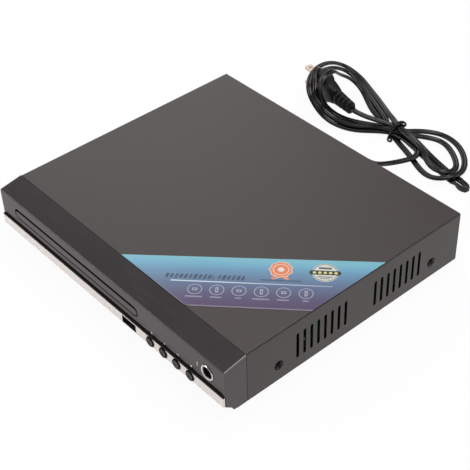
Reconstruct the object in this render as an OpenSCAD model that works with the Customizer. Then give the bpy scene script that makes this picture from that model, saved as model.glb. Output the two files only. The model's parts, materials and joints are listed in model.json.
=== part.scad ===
// Compact disc player with a motor-driven tray, in millimetres.
// The origin is on the table under the middle of the case. +X is right, +Y is the rear and +Z is up.
// Inside the modules Y counts from the front face of the bezel, and front_y moves it to the origin.

/* [Case] */
// Overall width of the case
body_w = 225; // [222:1:250]
// Depth from the bezel's face to the rear edge of the cover
body_d = 196.5; // [194:0.5:230]
// Height of the case without its feet
case_h = 37.5; // [36.5:0.5:48]
// Height of the feet
foot_h = 2.5; // [1.5:0.5:6]
// Thickness of the sheet steel of the cover and the chassis
sheet_t = 0.8; // [0.6:0.1:1]
// Outside bend radius of the cover
bend_r = 1.2; // [1:0.1:2]

/* [Side vents and cover screws] */
// Width of one vent slot
vent_w = 2.2; // [1.6:0.1:3]
// Height of one vent slot
vent_len = 19.5; // [10:0.5:22]
// Distance from slot to slot
vent_pitch = 5.6; // [4.5:0.1:6]
// Slots in one group
vent_count = 8; // [4:1:8]
// Lower end of the slots above the case's bottom
vent_rise = 8; // [6:0.5:12]
// First slot of the front group behind the seam
vent_front = 39.4; // [36:0.1:44]
// Last slot of the rear group before the rear edge
vent_rear = 36.8; // [34:0.1:44]
// Height of the side screws above the case's bottom
screw_rise = 11.8; // [10:0.1:14]
// Front side screw behind the seam
screw_front = 24.5; // [22:0.1:27]
// Rear side screw before the rear edge
screw_rear = 24.9; // [22:0.1:27]
// Depth of the pressed seat round a side screw
dimple_h = 0.8; // [0.6:0.1:1]
// Diameter of a cover screw's head
head_d = 5.6; // [5:0.1:6]
// Diameter of a cover screw's shank
shank_d = 2.8; // [2.4:0.1:3]

/* [Front bezel] */
// Depth of the bezel from its face to the seam
bezel_d = 16.6; // [16:0.1:22]
// Wall thickness of the bezel
bezel_wall = 2.2; // [1.8:0.1:2.4]
// Drop of the bezel's top from the seam to the front edge
brow_drop = 2.9; // [1:0.1:4]
// Distance of the sloping underside's rear end behind the face
heel_d = 9; // [7:0.5:11]
// Gap at the seam between bezel and cover
seam_gap = 0.3; // [0.2:0.05:0.6]
// Thickness of the band that carries the trim strip
band_t = 3.2; // [2.6:0.1:3.4]

/* [Trim strip] */
// Height of the strip
strip_h = 8.1; // [8:0.1:8.6]
// Lower edge of the strip above the case's bottom
strip_rise = 7.1; // [6.8:0.1:7.6]
// How far the strip stands out of the bezel's face
strip_proud = 1.2; // [0.8:0.1:1.6]
// Thickness of the strip
strip_t = 2; // [1.8:0.1:2.2]
// Height of the groove above the strip
groove_h = 1.8; // [1.4:0.1:2]
// Depth of that groove
groove_d = 2.4; // [2:0.1:2.6]

/* [Buttons and sockets] */
// Diameter of a button
button_d = 7; // [6:0.1:7.2]
// Distance from button to button
button_pitch = 12.3; // [10:0.1:13]
// Last button's axis before the right side
button_inset = 29.2; // [28:0.1:31]
// How far a button stands out of the strip
button_proud = 0.8; // [0.6:0.1:1.2]
// Travel of a button
button_travel = 0.5; // [0.3:0.1:0.6]
// Radial gap round a button
button_gap = 0.2; // [0.15:0.05:0.3]
// Axis of the microphone jack before the right side
jack_inset = 14.5; // [14:0.1:16]
// Height of that axis above the case's bottom
jack_rise = 24; // [23:0.1:25]
// Bore radius of the microphone jack
jack_r = 3.2; // [3.1:0.05:3.3]
// Outside diameter of the jack's bright ring
ring_d = 10.5; // [9.5:0.1:11]
// Axis of the memory socket before the right side
usb_inset = 86.9; // [84:0.1:88]

/* [Disc tray] */
// Diameter of a disc
disc_d = 120; // [119:0.5:120]
// Centre of the disc behind the bezel's face, tray closed
disc_y = 68; // [67:0.5:70]
// Width of the tray slot in the bezel
slot_w = 131.3; // [131:0.1:133]
// Height of the tray slot
slot_h = 7.8; // [7.2:0.1:8]
// Corner radius of the tray slot
slot_r = 3.5; // [2.5:0.1:3.6]
// Left end of the slot from the left side
slot_inset = 15.3; // [15:0.1:17]
// Gap between the tray door and the slot's ends
door_gap = 0.8; // [0.5:0.1:1]
// Height of the tray door
door_h = 5; // [4.8:0.1:5.4]
// Thickness of the tray door
door_t = 2.6; // [2.2:0.1:3]
// Thickness of the tray
tray_t = 4.3; // [4.2:0.1:4.5]
// Rear end of the tray behind the bezel's face
tray_end = 152; // [151:0.5:153]
// How far the tray comes out
tray_travel = 125; // [100:1:127]
// Underside of the tray above the chassis floor
tray_rise = 20.7; // [20.4:0.1:21]
// Depth of the disc recess
recess_d = 1.8; // [1.4:0.1:2]

/* [Loader] */
// Thickness of the loader frame's side walls
rail_t = 2.5; // [2:0.1:3]
// Gap between the tray and the side walls
rail_gap = 0.6; // [0.5:0.05:0.8]
// Rear end of the loader frame behind the bezel's face
loader_end = 158; // [157:0.5:159]
// Running gap above and below the tray
slide_gap = 0.3; // [0.3:0.05:0.4]
// Thickness of the bridge that holds the disc clamp
bridge_t = 1.5; // [1.2:0.1:1.8]
// Outside radius of the disc clamp
clamp_r = 15; // [13:0.5:16]

/* [Gear train] */
// Module of the gears
gear_m = 0.8; // [0.76:0.02:0.8]
// Teeth of the drive gear on the rack
drive_teeth = 16; // [14:1:16]
// Teeth of the idler's large gear
idler_teeth = 40; // [36:1:40]
// Teeth of the idler's small gear
idler_pinion = 14; // [12:1:14]
// Teeth of the pinion under the belt pulley
pulley_pinion = 12; // [11:1:13]
// Radius of the belt on the large pulley
pulley_r = 12; // [10:0.5:12]
// Radius of the belt on the motor pulley
motor_pulley_r = 3; // [2.5:0.25:3.5]
// Thickness of the belt
belt_t = 1; // [0.8:0.1:1.2]
// Radius of the gears' axle pins
axle_r = 1.25; // [1:0.05:1.5]
// Radial running gap on the axle pins
axle_gap = 0.05; // [0.04:0.01:0.08]
// Backlash of the gears
backlash = 0.16; // [0.1:0.01:0.2]

/* [Traverse] */
// Angle by which the traverse hangs below its playing position
tilt = 5; // [4.8:0.1:5.2]
// Half the width of the traverse frame
traverse_half = 44; // [43:0.5:46]
// Radius of the guide rods
rod_r = 1.5; // [1.2:0.1:1.6]
// Distance of each guide rod from the spindle's plane
rod_x = 26; // [25:0.5:27]
// Lens at its home position behind the spindle
lens_home = 24; // [23.5:0.5:25]
// Travel of the laser pickup
pickup_travel = 34; // [30:0.5:34]
// Radius of the turntable
turntable_r = 13; // [12:0.5:14]

/* [Boards] */
// Thickness of the circuit boards
board_t = 1.6; // [1.2:0.1:1.6]
// Height of the boards' standoffs
standoff_h = 6; // [4:0.5:7]
// Width of the main board
main_w = 60; // [58:0.5:61]
// Length of the main board
main_l = 126; // [100:1:128]
// Length of the power board, across the case
power_l = 112; // [108:1:116]
// Width of the power board
power_w = 27; // [26:0.5:28]
// Distance from one output socket to the next
av_pitch = 14; // [13:0.5:15]
// Outside radius of an output socket's barrel
av_r = 4.15; // [4:0.05:4.3]
// How far the barrels stand out of the rear panel
av_proud = 8; // [7:0.5:10]

/* [Mains lead] */
// Width of the flat lead
cord_w = 4.6; // [4:0.1:5]
// Thickness of the flat lead
cord_t = 2.8; // [2.4:0.1:3]
// Height of the lead's outlet above the chassis floor
grip_rise = 14; // [12:0.5:16]
// Length of the strain relief outside the rear panel
grip_len = 17.5; // [12:0.5:18]

/* [Hidden] */
$fn = 48;

// Heights
floor_z = foot_h + sheet_t;
top_z = foot_h + case_h;
roof_z = top_z - sheet_t;
brow_z = top_z - brow_drop;
strip_z = foot_h + strip_rise;
strip_top = strip_z + strip_h;
groove_top = strip_top + groove_h;
tray_z = floor_z + tray_rise;
tray_top = tray_z + tray_t;
rail_top = tray_top + 3.1;
board_z = floor_z + standoff_h;
board_top = board_z + board_t;

// Widths and depths
inner_w = body_w - 2 * sheet_t;
pan_w = body_w - 2 * (sheet_t + dimple_h);
side_x = body_w / 2;
panel_y = body_d - 2 * sheet_t;
front_proud = strip_proud + button_proud;
front_y = -(body_d + av_proud - sheet_t - front_proud) / 2;
screw_ys = [bezel_d + screw_front, body_d - screw_rear];
strip_seat = strip_t - strip_proud;
band_back = strip_seat + band_t;
lip_fit = 0.2;
lip_t = 1.2;
lip_len = 3;

// Controls
button_z = strip_z + strip_h / 2;
button_xs = [for (i = [0 : 3]) side_x - button_inset - (3 - i) * button_pitch];
jack_x = side_x - jack_inset;
jack_z = foot_h + jack_rise;
usb_x = side_x - usb_inset;
usb_z = button_z - 0.2;
usb_w = 13.1;
usb_h = 5.7;
usb_wall = 0.3;
usb_len = 14;
front_board_y = 11;
switch_h = 3.5;
plunger_h = 1;
post_xs = [button_xs[0] - 8, jack_x + 2];

// Tray and loader
tray_x = -side_x + slot_inset + slot_w / 2;
tray_w = slot_w - 2 * door_gap - 1.7;
tray_left = tray_x - tray_w / 2;
slot_z = tray_z - 1;
door_z = tray_z - 0.4;
window_r = 20;
window_half = 22;
wall_in = tray_w / 2 + rail_gap;
wall_out = wall_in + rail_t;
wall_foot = 9;
lug_r = 4;
lug_ys = [50, loader_end - 8];
lug_z = 12;
bridge_ys = [disc_y - 16, disc_y + 16];
bridge_top = rail_top + bridge_t;
clamp_hole_r = clamp_r - 2.5;

// Gear train
tooth_pitch = PI * gear_m;
mesh_gap = 0.08;
deck_z = floor_z + 8.1;
deck_t = 1.5;
deck_top = deck_z + deck_t;
deck_ys = [6, 44];
rack_line = tray_left + gear_m;
drive_r = gear_m * drive_teeth / 2;
drive_at = [rack_line - drive_r - mesh_gap, 16];
idler_dir = 35;
idler_dist = gear_m * (drive_teeth + idler_pinion) / 2 + mesh_gap;
idler_at = drive_at + idler_dist * [cos(idler_dir), sin(idler_dir)];
pulley_dir = -2.5;
pulley_dist = gear_m * (idler_teeth + pulley_pinion) / 2 + mesh_gap;
pulley_at = idler_at + pulley_dist * [cos(pulley_dir), sin(pulley_dir)];
motor_at = pulley_at + [34.6, 9];
motor_r = 12.2;
motor_deck_z = deck_z + 5.1;
motor_deck_xs = [motor_at[0] - 14, motor_at[0] + 14];
hub_z = deck_top + 0.3;
big_gear_z = hub_z + 0.8;
big_gear_t = 2.4;
small_gear_z = big_gear_z + big_gear_t;
drive_gear_z = small_gear_z + 1.2;
rack_z = tray_z + 0.2;
rack_h = 2.4;
belt_z = motor_deck_z + deck_t + 2.4;
rack_ys = [8, tray_end - 2];
arm_z = tray_top + 0.5;

// Traverse, drawn in its playing position and then let down about its hinge
hinge_at = [tray_x, 146, floor_z + 13.7];
ring_z = hinge_at[2] - 4;
ring_h = 6;
ring_t = 4;
ring_ys = [disc_y - 18, 148];
damper_h = 2;
damper_r = 4;
plate_z = ring_z + ring_h + damper_h;
plate_t = 1.2;
plate_top = plate_z + plate_t;
disc_z = tray_top - 0.9;
pin_r = 2;
cam_pin_r = 1.5;
cam_pin_x = tray_x + 10;
cam_travel = 22;
cam_ys = [45.5, 48.5];
cam_rail_z = floor_z + 1.3;
cam_rail_t = 1.1;
cam_low = hinge_at[2] - (hinge_at[1] - 47) * sin(tilt);
window_xs = [tray_x - 36, tray_x + 31];
window_ys = [disc_y + 10, disc_y + 73];
rod_z = plate_z - 3.5;
lens_y = disc_y + lens_home;
feed_x = tray_x - 34;
feed_z = plate_z - 7;
feed_motor_r = 4.4;
feed_ys = [window_ys[0] + 2, window_ys[1] - 13];

// Boards and rear sockets
main_x = [side_x - 5 - main_w, side_x - 5];
main_y = [body_d - 6 - main_l, body_d - 6];
power_x = [-side_x + 14, -side_x + 14 + power_l];
power_y = [body_d - 6 - power_w, body_d - 6];
av_xs = [for (i = [0 : 2]) main_x[0] + 24 + i * av_pitch];
av_z = board_top + 7;
hdmi_x = main_x[0] + 9;
hdmi_z = board_top + 3;
grip_x = 12.5;
grip_z = floor_z + grip_rise;
standoff_r = 3;
board_holes = [
    for (x = [main_x[0] + 4, main_x[1] - 4], y = [main_y[0] + 4, main_y[1] - 22]) [x, y],
    for (x = [power_x[0] + 4, power_x[1] - 4], y = [power_y[0] + 4, power_y[1] - 4]) [x, y]
];
foot_xs = [-side_x + 18, side_x - 18];
foot_y = body_d - 16;
foot_r = 6;

// Mains lead behind the case, laid on the table
tie_at = [-8, 271];
tie_turn = -15;
tie_w = 2.4;
tie_t = 1;
waist_half = 6;
left_loop = [
    [-13, 269], [-32, 255], [-56, 251], [-78, 257], [-89, 276], [-94, 294], [-86, 305], [-68, 299], [-38, 285],
    [-14, 275]
];
right_loop = [
    [-2, 274], [12, 289], [26, 293], [42, 285], [53, 269], [55, 257], [47, 251.5], [28, 259], [-2, 268]
];
thin_bight = [[-4, 271], [20, 269], [48, 265], [62, 262], [72, 257]];
plug_turn = 170;
plug_at = [-84.5, 267, 13];
plug_len = 24;
plug_w = 25.6;
plug_t = 13.5;
blade_gap = 12.7;
hank_h = 8.5;
lead_route = [
    [12.5, 212.5, 17.2], [12.5, 216.5, 16.8], [12.7, 220.5, 14.6], [13.1, 224.5, 11.6], [13.7, 228.5, 9],
    [14.6, 233.5, 7], [15.7, 238.5, 5.8], [17, 243.5, 5], [18.4, 248.5, 4.6], [19.6, 253.5, 4.4],
    [20.4, 258, 4.4], [20.8, 262.5, 4.4]
];
plug_route = [
    [-42.6, 259.5, 13], [-38, 258.9, 12.7], [-33, 259.2, 11.6], [-27, 261, 10.4], [-21, 263.8, 9.8], [-15, 267, 9.6]
];

// ---- small shapes ----

module in_case() {
    translate([0, front_y, 0]) children();
}

// Carries the traverse's pieces down from the playing position to where they rest
module on_traverse() {
    in_case() translate(hinge_at) rotate([tilt, 0, 0]) translate(-hinge_at) children();
}

// Extrudes a shape drawn in X and Z from depth y0 to y1
module along_y(y0, y1) {
    translate([0, y1, 0]) rotate([90, 0, 0]) linear_extrude(y1 - y0) children();
}

// Extrudes a shape drawn in Y and Z from x0 to x1
module along_x(x0, x1) {
    translate([x0, 0, 0]) rotate([90, 0, 90]) linear_extrude(x1 - x0) children();
}

// A box from its two corners
module block(a, b) {
    translate(a) cube(b - a);
}

// Upright cylinder at a point in plan
module post(at, z, r, h) {
    translate([at[0], at[1], z]) cylinder(r = r, h = h);
}

// Cylinder along Y
module post_y(x, z, r, y0, y1) {
    translate([x, y0, z]) rotate([-90, 0, 0]) cylinder(r = r, h = y1 - y0);
}

// Cylinder along X
module post_x(y, z, r, x0, x1) {
    translate([x0, y, z]) rotate([0, 90, 0]) cylinder(r = r, h = x1 - x0);
}

// Rectangle with rounded corners, centred in width, standing on the axis
module soft_rect(w, h, r) {
    translate([-w / 2 + r, 0]) square([w - 2 * r, h]);
    translate([-w / 2, r]) square([w, h - 2 * r]);
    for (sx = [-1, 1], z = [r, h - r]) translate([sx * (w / 2 - r), z]) circle(r);
}

// Sheet section with its two upper corners rounded
module arch(w, h, r) {
    translate([-w / 2, 0]) square([w, h - r]);
    translate([-w / 2 + r, 0]) square([w - 2 * r, h]);
    for (sx = [-1, 1]) translate([sx * (w / 2 - r), h - r]) circle(r);
}

// Upright slot with round ends, standing on the axis
module slot_shape(w, h) {
    translate([-w / 2, w / 2]) square([w, h - w]);
    for (z = [w / 2, h - w / 2]) translate([0, z]) circle(w / 2, $fn = 24);
}

// Pan-head screw along +Z with the underside of its head at the origin
module screw(head, head_h, shank, shank_l) {
    difference() {
        union() {
            cylinder(d = head, h = head_h * 0.5);
            translate([0, 0, head_h * 0.5]) cylinder(d1 = head, d2 = head * 0.62, h = head_h * 0.5);
            translate([0, 0, -shank_l]) cylinder(d = shank, h = shank_l + 0.1);
        }
        for (a = [0, 90]) rotate([0, 0, a])
            translate([-head * 0.27, -0.35, head_h * 0.35]) cube([head * 0.54, 0.7, head_h]);
    }
}

// ---- involute gears ----

function involute(base_r, a) = base_r * [cos(a) + a * PI / 180 * sin(a), sin(a) - a * PI / 180 * cos(a)];
function spin(p, a) = [p[0] * cos(a) - p[1] * sin(a), p[0] * sin(a) + p[1] * cos(a)];
function roll_angle(base_r, r) = r > base_r ? sqrt(pow(r / base_r, 2) - 1) * 180 / PI : 0;
function polar_of(p) = atan2(p[1], p[0]);

// One flank of a tooth from root to tip, with the tooth's middle on the X axis
function flank(teeth) =
    let (
        pitch_r = gear_m * teeth / 2,
        base_r = pitch_r * cos(20),
        root_r = pitch_r - 1.15 * gear_m,
        tip_r = pitch_r + gear_m - 0.04,
        half = 90 / teeth - backlash / pitch_r * 90 / PI,
        at_pitch = polar_of(involute(base_r, roll_angle(base_r, pitch_r))),
        start_r = max(base_r, root_r)
    )
    concat(
        [spin([root_r, 0], -half - at_pitch)],
        [for (i = [0 : 3])
            let (r = start_r + (tip_r - start_r) * i / 3)
            spin(involute(base_r, roll_angle(base_r, r)), -half - at_pitch)]
    );

// Mirror of a flank about the tooth's middle, from tip to root
function other_flank(points) = [for (i = [len(points) - 1 : -1 : 0]) [points[i][0], -points[i][1]]];

function gear_outline(teeth) =
    let (side = flank(teeth), tooth = concat(side, other_flank(side)))
    [for (i = [0 : teeth - 1], p = tooth) spin(p, i * 360 / teeth)];

module gear_disc(teeth, h) {
    linear_extrude(h) polygon(gear_outline(teeth));
}

// Angle of a gear of teeth_b that meshes with one of teeth_a at angle_a, lying in direction dir from it
function mesh_angle(angle_a, teeth_a, teeth_b, dir) =
    dir + 180 + 180 / teeth_b - teeth_a / teeth_b * (angle_a - dir);

drive_angle = 0;
idler_angle = mesh_angle(drive_angle, drive_teeth, idler_pinion, idler_dir);
pulley_angle = mesh_angle(idler_angle, idler_teeth, pulley_pinion, pulley_dir);

// ---- case ----

module side_screw_seats(r, x_in, x_out) {
    for (sx = [-1, 1], y = screw_ys)
        post_x(y, foot_h + screw_rise, r, sx > 0 ? x_in : -x_out, sx > 0 ? x_out : -x_in);
}

module top_cover() {
    color("dimgray") in_case() difference() {
        union() {
            along_y(bezel_d + seam_gap, body_d) translate([0, foot_h]) difference() {
                arch(body_w, case_h, bend_r);
                translate([0, -1]) arch(inner_w, case_h - sheet_t + 1, bend_r - sheet_t);
            }
            side_screw_seats(head_d / 2 + 2, side_x - sheet_t - dimple_h, side_x - sheet_t / 2);
            block([-pan_w / 2, body_d - sheet_t, roof_z - 8], [pan_w / 2, body_d, roof_z + 0.1]);
        }
        side_screw_seats(head_d / 2 + 0.6, side_x - dimple_h, side_x + 1);
        side_screw_seats(shank_d / 2 + 0.2, side_x - 5, side_x + 1);
        for (g = [0, 1], i = [0 : vent_count - 1]) {
            y = g == 0 ? bezel_d + vent_front + i * vent_pitch : body_d - vent_rear - i * vent_pitch;
            along_x(-body_w, body_w) translate([y, foot_h + vent_rise]) slot_shape(vent_w, vent_len);
        }
        for (x = rear_screw_xs) post_y(x, roof_z - 4, shank_d / 2 + 0.2, body_d - 2, body_d + 1);
    }
}

rear_screw_xs = [-side_x + 28, side_x - 28];
flange_h = 6;
tab_half = 8;
tab_h = 18;

// Standoff pressed up from the floor, with its screw hole
module standoff(at) {
    difference() {
        post(at, floor_z - 0.1, standoff_r, standoff_h + 0.1);
        post(at, floor_z, shank_d / 2, standoff_h + 1);
    }
}

module chassis_pan() {
    floor_x = pan_w / 2;
    pan_front = bezel_d + seam_gap;
    color("silver") in_case() difference() {
        union() {
            block([-floor_x, pan_front, foot_h], [floor_x, body_d - sheet_t, floor_z]);
            block([-floor_x, pan_front, foot_h], [floor_x, pan_front + sheet_t, floor_z + flange_h - 2]);
            for (sx = [-1, 1]) {
                x = sx > 0 ? floor_x - sheet_t : -floor_x;
                block([x, pan_front, foot_h], [x + sheet_t, body_d - sheet_t, floor_z + flange_h]);
                for (y = screw_ys)
                    block([x, y - tab_half, foot_h], [x + sheet_t, y + tab_half, floor_z + tab_h]);
            }
            block([-floor_x, panel_y, foot_h], [floor_x, body_d - sheet_t, roof_z - 0.3]);
            for (at = board_holes) standoff(at);
        }
        side_screw_seats(shank_d / 2 + 0.05, side_x - 6, side_x);
        for (x = rear_screw_xs) post_y(x, roof_z - 4, shank_d / 2 + 0.05, panel_y - 1, body_d);
        for (at = board_holes) post(at, floor_z, shank_d / 2 + 0.05, standoff_h + 1);
        for (sx = [-1, 1], y = lug_ys) post([tray_x + sx * (wall_out + lug_r), y], 0, shank_d / 2 + 0.05, top_z);
        // Sockets and outlet in the rear panel
        for (x = av_xs) post_y(x, av_z, av_r + 0.3, panel_y - 1, body_d);
        for (x = av_screw_xs) post_y(x, av_z + 6.5, shank_d / 2 + 0.05, panel_y - 1, body_d);
        along_y(panel_y - 1, body_d) translate([hdmi_x, hdmi_z - 3.2]) soft_rect(15.6, 6.4, 0.8);
        along_y(panel_y - 1, body_d) translate([grip_x, grip_z - grip_neck_h / 2]) soft_rect(grip_neck_w, grip_neck_h, 1);
        // Air slots in the rear panel and the floor
        for (i = [0 : 11])
            along_y(panel_y - 1, body_d) translate([power_x[0] + 14 + i * 6, floor_z + 9]) slot_shape(vent_w, 18);
        for (x = [power_x[0] + 20 : 7 : power_x[1] - 20])
            block([x, power_y[0] + 5, 0], [x + vent_w, power_y[1] - 5, floor_z + 1]);
        for (x = [main_x[0] + 12 : 7 : main_x[1] - 12])
            block([x, main_y[0] + 30, 0], [x + vent_w, main_y[0] + 60, floor_z + 1]);
    }
}

av_screw_xs = [av_xs[0] + av_pitch / 2, av_xs[1] + av_pitch / 2];
grip_neck_w = 8;
grip_neck_h = 6.4;

module rear_feet() {
    color("black") in_case() for (x = foot_xs) {
        translate([x, foot_y, foot_h * 0.3]) cylinder(r = foot_r, h = foot_h * 0.7);
        translate([x, foot_y, 0]) cylinder(r1 = foot_r - foot_h * 0.3, r2 = foot_r, h = foot_h * 0.3 + 0.01);
    }
}

// ---- front bezel ----

brow_r = 0.8;

// Side view of the bezel in Y and Z
function bezel_side() = concat(
    [[0, strip_z]],
    [for (a = [180 : -20 : 100]) [brow_r + brow_r * cos(a), brow_z - brow_r * 0.9 + brow_r * sin(a)]],
    [[bezel_d, top_z], [bezel_d, foot_h], [heel_d, foot_h]]
);

function bezel_hollow() = [
    [bezel_wall, strip_z + 1.5],
    [bezel_wall, brow_z - bezel_wall],
    [bezel_d + 1, top_z - bezel_wall],
    [bezel_d + 1, foot_h + bezel_wall],
    [heel_d + 0.8, foot_h + bezel_wall]
];

module front_bezel() {
    hollow_x = side_x - bezel_wall;
    lip_w = inner_w - 2 * lip_fit;
    color("#3a393b") in_case() difference() {
        union() {
            difference() {
                along_x(-side_x, side_x) polygon(bezel_side());
                along_x(-hollow_x, hollow_x) polygon(bezel_hollow());
            }
            // Band behind the strip and the groove
            block([-hollow_x - 0.1, strip_seat, strip_z + 0.4], [hollow_x + 0.1, band_back, groove_top + 0.8]);
            // Lip that the cover slides over
            along_y(bezel_d - 1, bezel_d + lip_len) translate([0, floor_z + tab_h + 2]) difference() {
                arch(lip_w, roof_z - lip_fit - floor_z - tab_h - 2, bend_r);
                translate([0, -1]) arch(lip_w - 2 * lip_t, roof_z - lip_fit - lip_t - floor_z - tab_h - 1, bend_r);
            }
            // Moulded front feet
            for (sx = [-1, 1])
                along_y(heel_d - 1, heel_d + 3) translate([sx * (side_x - 9), 0]) soft_rect(15, foot_h + 0.5, 0.9);
            // Posts for the front board
            for (x = post_xs) post_y(x, button_z, 2.6, band_back - 0.1, front_board_y);
        }
        // Seat of the trim strip, groove and finger notches
        block([-body_w, -1, 0], [body_w, strip_seat, strip_top]);
        block([-hollow_x, -1, strip_top - 0.1], [hollow_x, groove_d, groove_top]);
        for (x = button_xs) post_y(x, groove_top, groove_h, -1, groove_d);
        // Tray slot
        along_y(-1, bezel_wall + 1) translate([tray_x, slot_z]) soft_rect(slot_w, slot_h, slot_r);
        // Buttons, memory socket, sensor and jack
        for (x = button_xs) post_y(x, button_z, button_d / 2 + button_gap, -1, band_back + 1);
        along_y(-1, band_back + 1) translate([usb_x, usb_z - usb_h / 2 - 0.2]) soft_rect(usb_w + 0.4, usb_h + 0.4, 0.5);
        block([sensor_x - 3, -1, strip_top + 0.3], [sensor_x + 3, band_back + 1, groove_top - 0.3]);
        post_y(jack_x, jack_z, ring_d / 2 + 0.35, -1, bezel_wall + 1);
        for (x = post_xs) post_y(x, button_z, 1, band_back + 1, front_board_y + 1);
    }
}

sensor_x = (button_xs[1] + button_xs[2]) / 2;

module trim_strip() {
    edge = 0.5;
    color("gainsboro") in_case() difference() {
        along_x(-side_x, side_x) polygon([
            [strip_seat, strip_z], [strip_seat, strip_top], [-strip_proud + edge, strip_top],
            [-strip_proud, strip_top - edge], [-strip_proud, strip_z + edge], [-strip_proud + edge, strip_z]
        ]);
        for (x = button_xs) post_y(x, button_z, button_d / 2 + button_gap, -3, 3);
        along_y(-3, 3) translate([usb_x, usb_z - (usb_h - 0.5) / 2]) soft_rect(usb_w - 0.1, usb_h - 0.5, 0.3);
    }
}

// Smoked window at the back of the groove
module window_strip() {
    w = side_x - bezel_wall - 0.05;
    color("black") in_case()
        block([-w, groove_d - 0.8, strip_top + 0.05], [w, groove_d, groove_top - 0.05]);
}

// One round button with its flange and stem
module button(i) {
    r = button_d / 2;
    flange_y = band_back + 0.3;
    stem_end = front_board_y - switch_h - plunger_h - button_travel - 0.3;
    color("#1c1c1e") in_case() translate([button_xs[i], -front_proud, button_z]) rotate([-90, 0, 0])
        rotate_extrude() polygon(concat(
            [[0, 0.25], [r * 0.45, 0.12], [r * 0.62, 0], [r - 0.5, 0], [r - 0.15, 0.12], [r, 0.5]],
            [[r, flange_y + front_proud], [r + 0.8, flange_y + front_proud], [r + 0.8, flange_y + front_proud + 0.7]],
            [[1.5, flange_y + front_proud + 0.7], [1.5, stem_end + front_proud], [0, stem_end + front_proud]]
        ));
}

module button_1() { button(0); }
module button_2() { button(1); }
module button_3() { button(2); }
module button_4() { button(3); }

module jack_ring() {
    color("silver") in_case() translate([jack_x, -0.5, jack_z]) rotate([-90, 0, 0]) rotate_extrude() polygon([
        [jack_r + 0.5, 0.9], [jack_r + 0.9, 0.2], [jack_r + 1.3, 0], [ring_d / 2 - 0.3, 0], [ring_d / 2, 0.3],
        [ring_d / 2, bezel_wall + 0.5], [jack_r + 0.5, bezel_wall + 0.5]
    ]);
}

jack_len = 22;

module mic_jack() {
    color("#202022") in_case() difference() {
        block([jack_x - 7.5, bezel_wall, jack_z - 6], [jack_x + 7.5, bezel_wall + jack_len + 3, jack_z + 6]);
        post_y(jack_x, jack_z, jack_r, bezel_wall - 1, bezel_wall + jack_len);
    }
}

module usb_socket() {
    y0 = strip_seat + 0.1;
    color("silver") in_case() {
        difference() {
            along_y(y0, y0 + usb_len) translate([usb_x, usb_z - usb_h / 2]) soft_rect(usb_w, usb_h, 0.4);
            block([usb_x - usb_w / 2 + usb_wall, y0 - 1, usb_z - usb_h / 2 + usb_wall],
                [usb_x + usb_w / 2 - usb_wall, y0 + usb_len - 1.2, usb_z + usb_h / 2 - usb_wall]);
        }
        block([usb_x - 5.6, y0 + 4.2, usb_z + 0.4], [usb_x + 5.6, y0 + usb_len - 1.1, usb_z + 2.3]);
    }
}

module front_board() {
    y0 = front_board_y;
    color("darkgreen") in_case() difference() {
        along_y(y0, y0 + board_t) polygon([
            [usb_x - 10, floor_z + 3], [side_x - 5, floor_z + 3], [side_x - 5, jack_z + 9],
            [jack_x - 12, jack_z + 9], [jack_x - 12, strip_top + 3], [usb_x - 10, strip_top + 3]
        ]);
        block([jack_x - 7.8, y0 - 1, jack_z - 6.3], [jack_x + 7.8, y0 + 3, jack_z + 6.3]);
        block([usb_x - usb_w / 2 - 0.2, y0 - 1, usb_z - usb_h / 2 - 0.2],
            [usb_x + usb_w / 2 + 0.2, y0 + 3, usb_z + usb_h / 2 + 0.2]);
        for (x = post_xs) post_y(x, button_z, 1.05, y0 - 1, y0 + 3);
    }
}

module tact_switches() {
    color("#303030") in_case() for (x = button_xs) {
        block([x - 3, front_board_y - switch_h, button_z - 3], [x + 3, front_board_y, button_z + 3]);
        post_y(x, button_z, 1.75, front_board_y - switch_h - plunger_h, front_board_y - switch_h + 0.1);
    }
}

module remote_sensor() {
    color("#151515") in_case() {
        block([sensor_x - 2.6, front_board_y - 4, strip_top - 2.2], [sensor_x + 2.6, front_board_y, strip_top + 2.8]);
        post_y(sensor_x, strip_top + 0.9, 1.4, front_board_y - 5.2, front_board_y - 3.9);
    }
}

// ---- tray ----

module tray_door() {
    lip = 0.5;
    w = slot_w - 2 * door_gap;
    color("#454446") in_case() difference() {
        along_y(0, door_t) translate([tray_x, door_z]) soft_rect(w, door_h, 2.4);
        // Bevel along the upper edge
        along_x(-body_w, body_w) polygon([
            [-1, door_z + door_h + 1], [-1, door_z + door_h - 2 * lip], [2 * lip, door_z + door_h + 1]
        ]);
    }
}

// The tray's plan, with its window and tail cut-outs
module tray_plan() {
    difference() {
        union() {
            translate([tray_left, door_t]) square([tray_w, tray_end - door_t - 3]);
            translate([tray_left + 3, door_t]) square([tray_w - 6, tray_end - door_t]);
            for (sx = [-1, 1]) translate([tray_x + sx * (tray_w / 2 - 3), tray_end - 3]) circle(3);
        }
        translate([tray_x, disc_y]) circle(window_r);
        translate([tray_x - window_half, disc_y]) square([2 * window_half, disc_d / 2 + 2]);
        for (sx = [-1, 1]) translate([tray_x + sx * (window_half + 16), disc_y + disc_d / 2 + 12]) {
            translate([-9, -4]) square([18, 8]);
            for (ex = [-9, 9]) translate([ex, 0]) circle(4, $fn = 24);
        }
    }
}

module rack_tooth() {
    half = tooth_pitch / 4 - backlash / 4;
    tip = half - (gear_m - 0.04) * tan(20);
    root = half + 1.15 * gear_m * tan(20);
    linear_extrude(rack_h) polygon([
        [1.15 * gear_m + 0.1, -root], [1.15 * gear_m, -root], [-gear_m + 0.04, -tip],
        [-gear_m + 0.04, tip], [1.15 * gear_m, root], [1.15 * gear_m + 0.1, root]
    ]);
}

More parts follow.
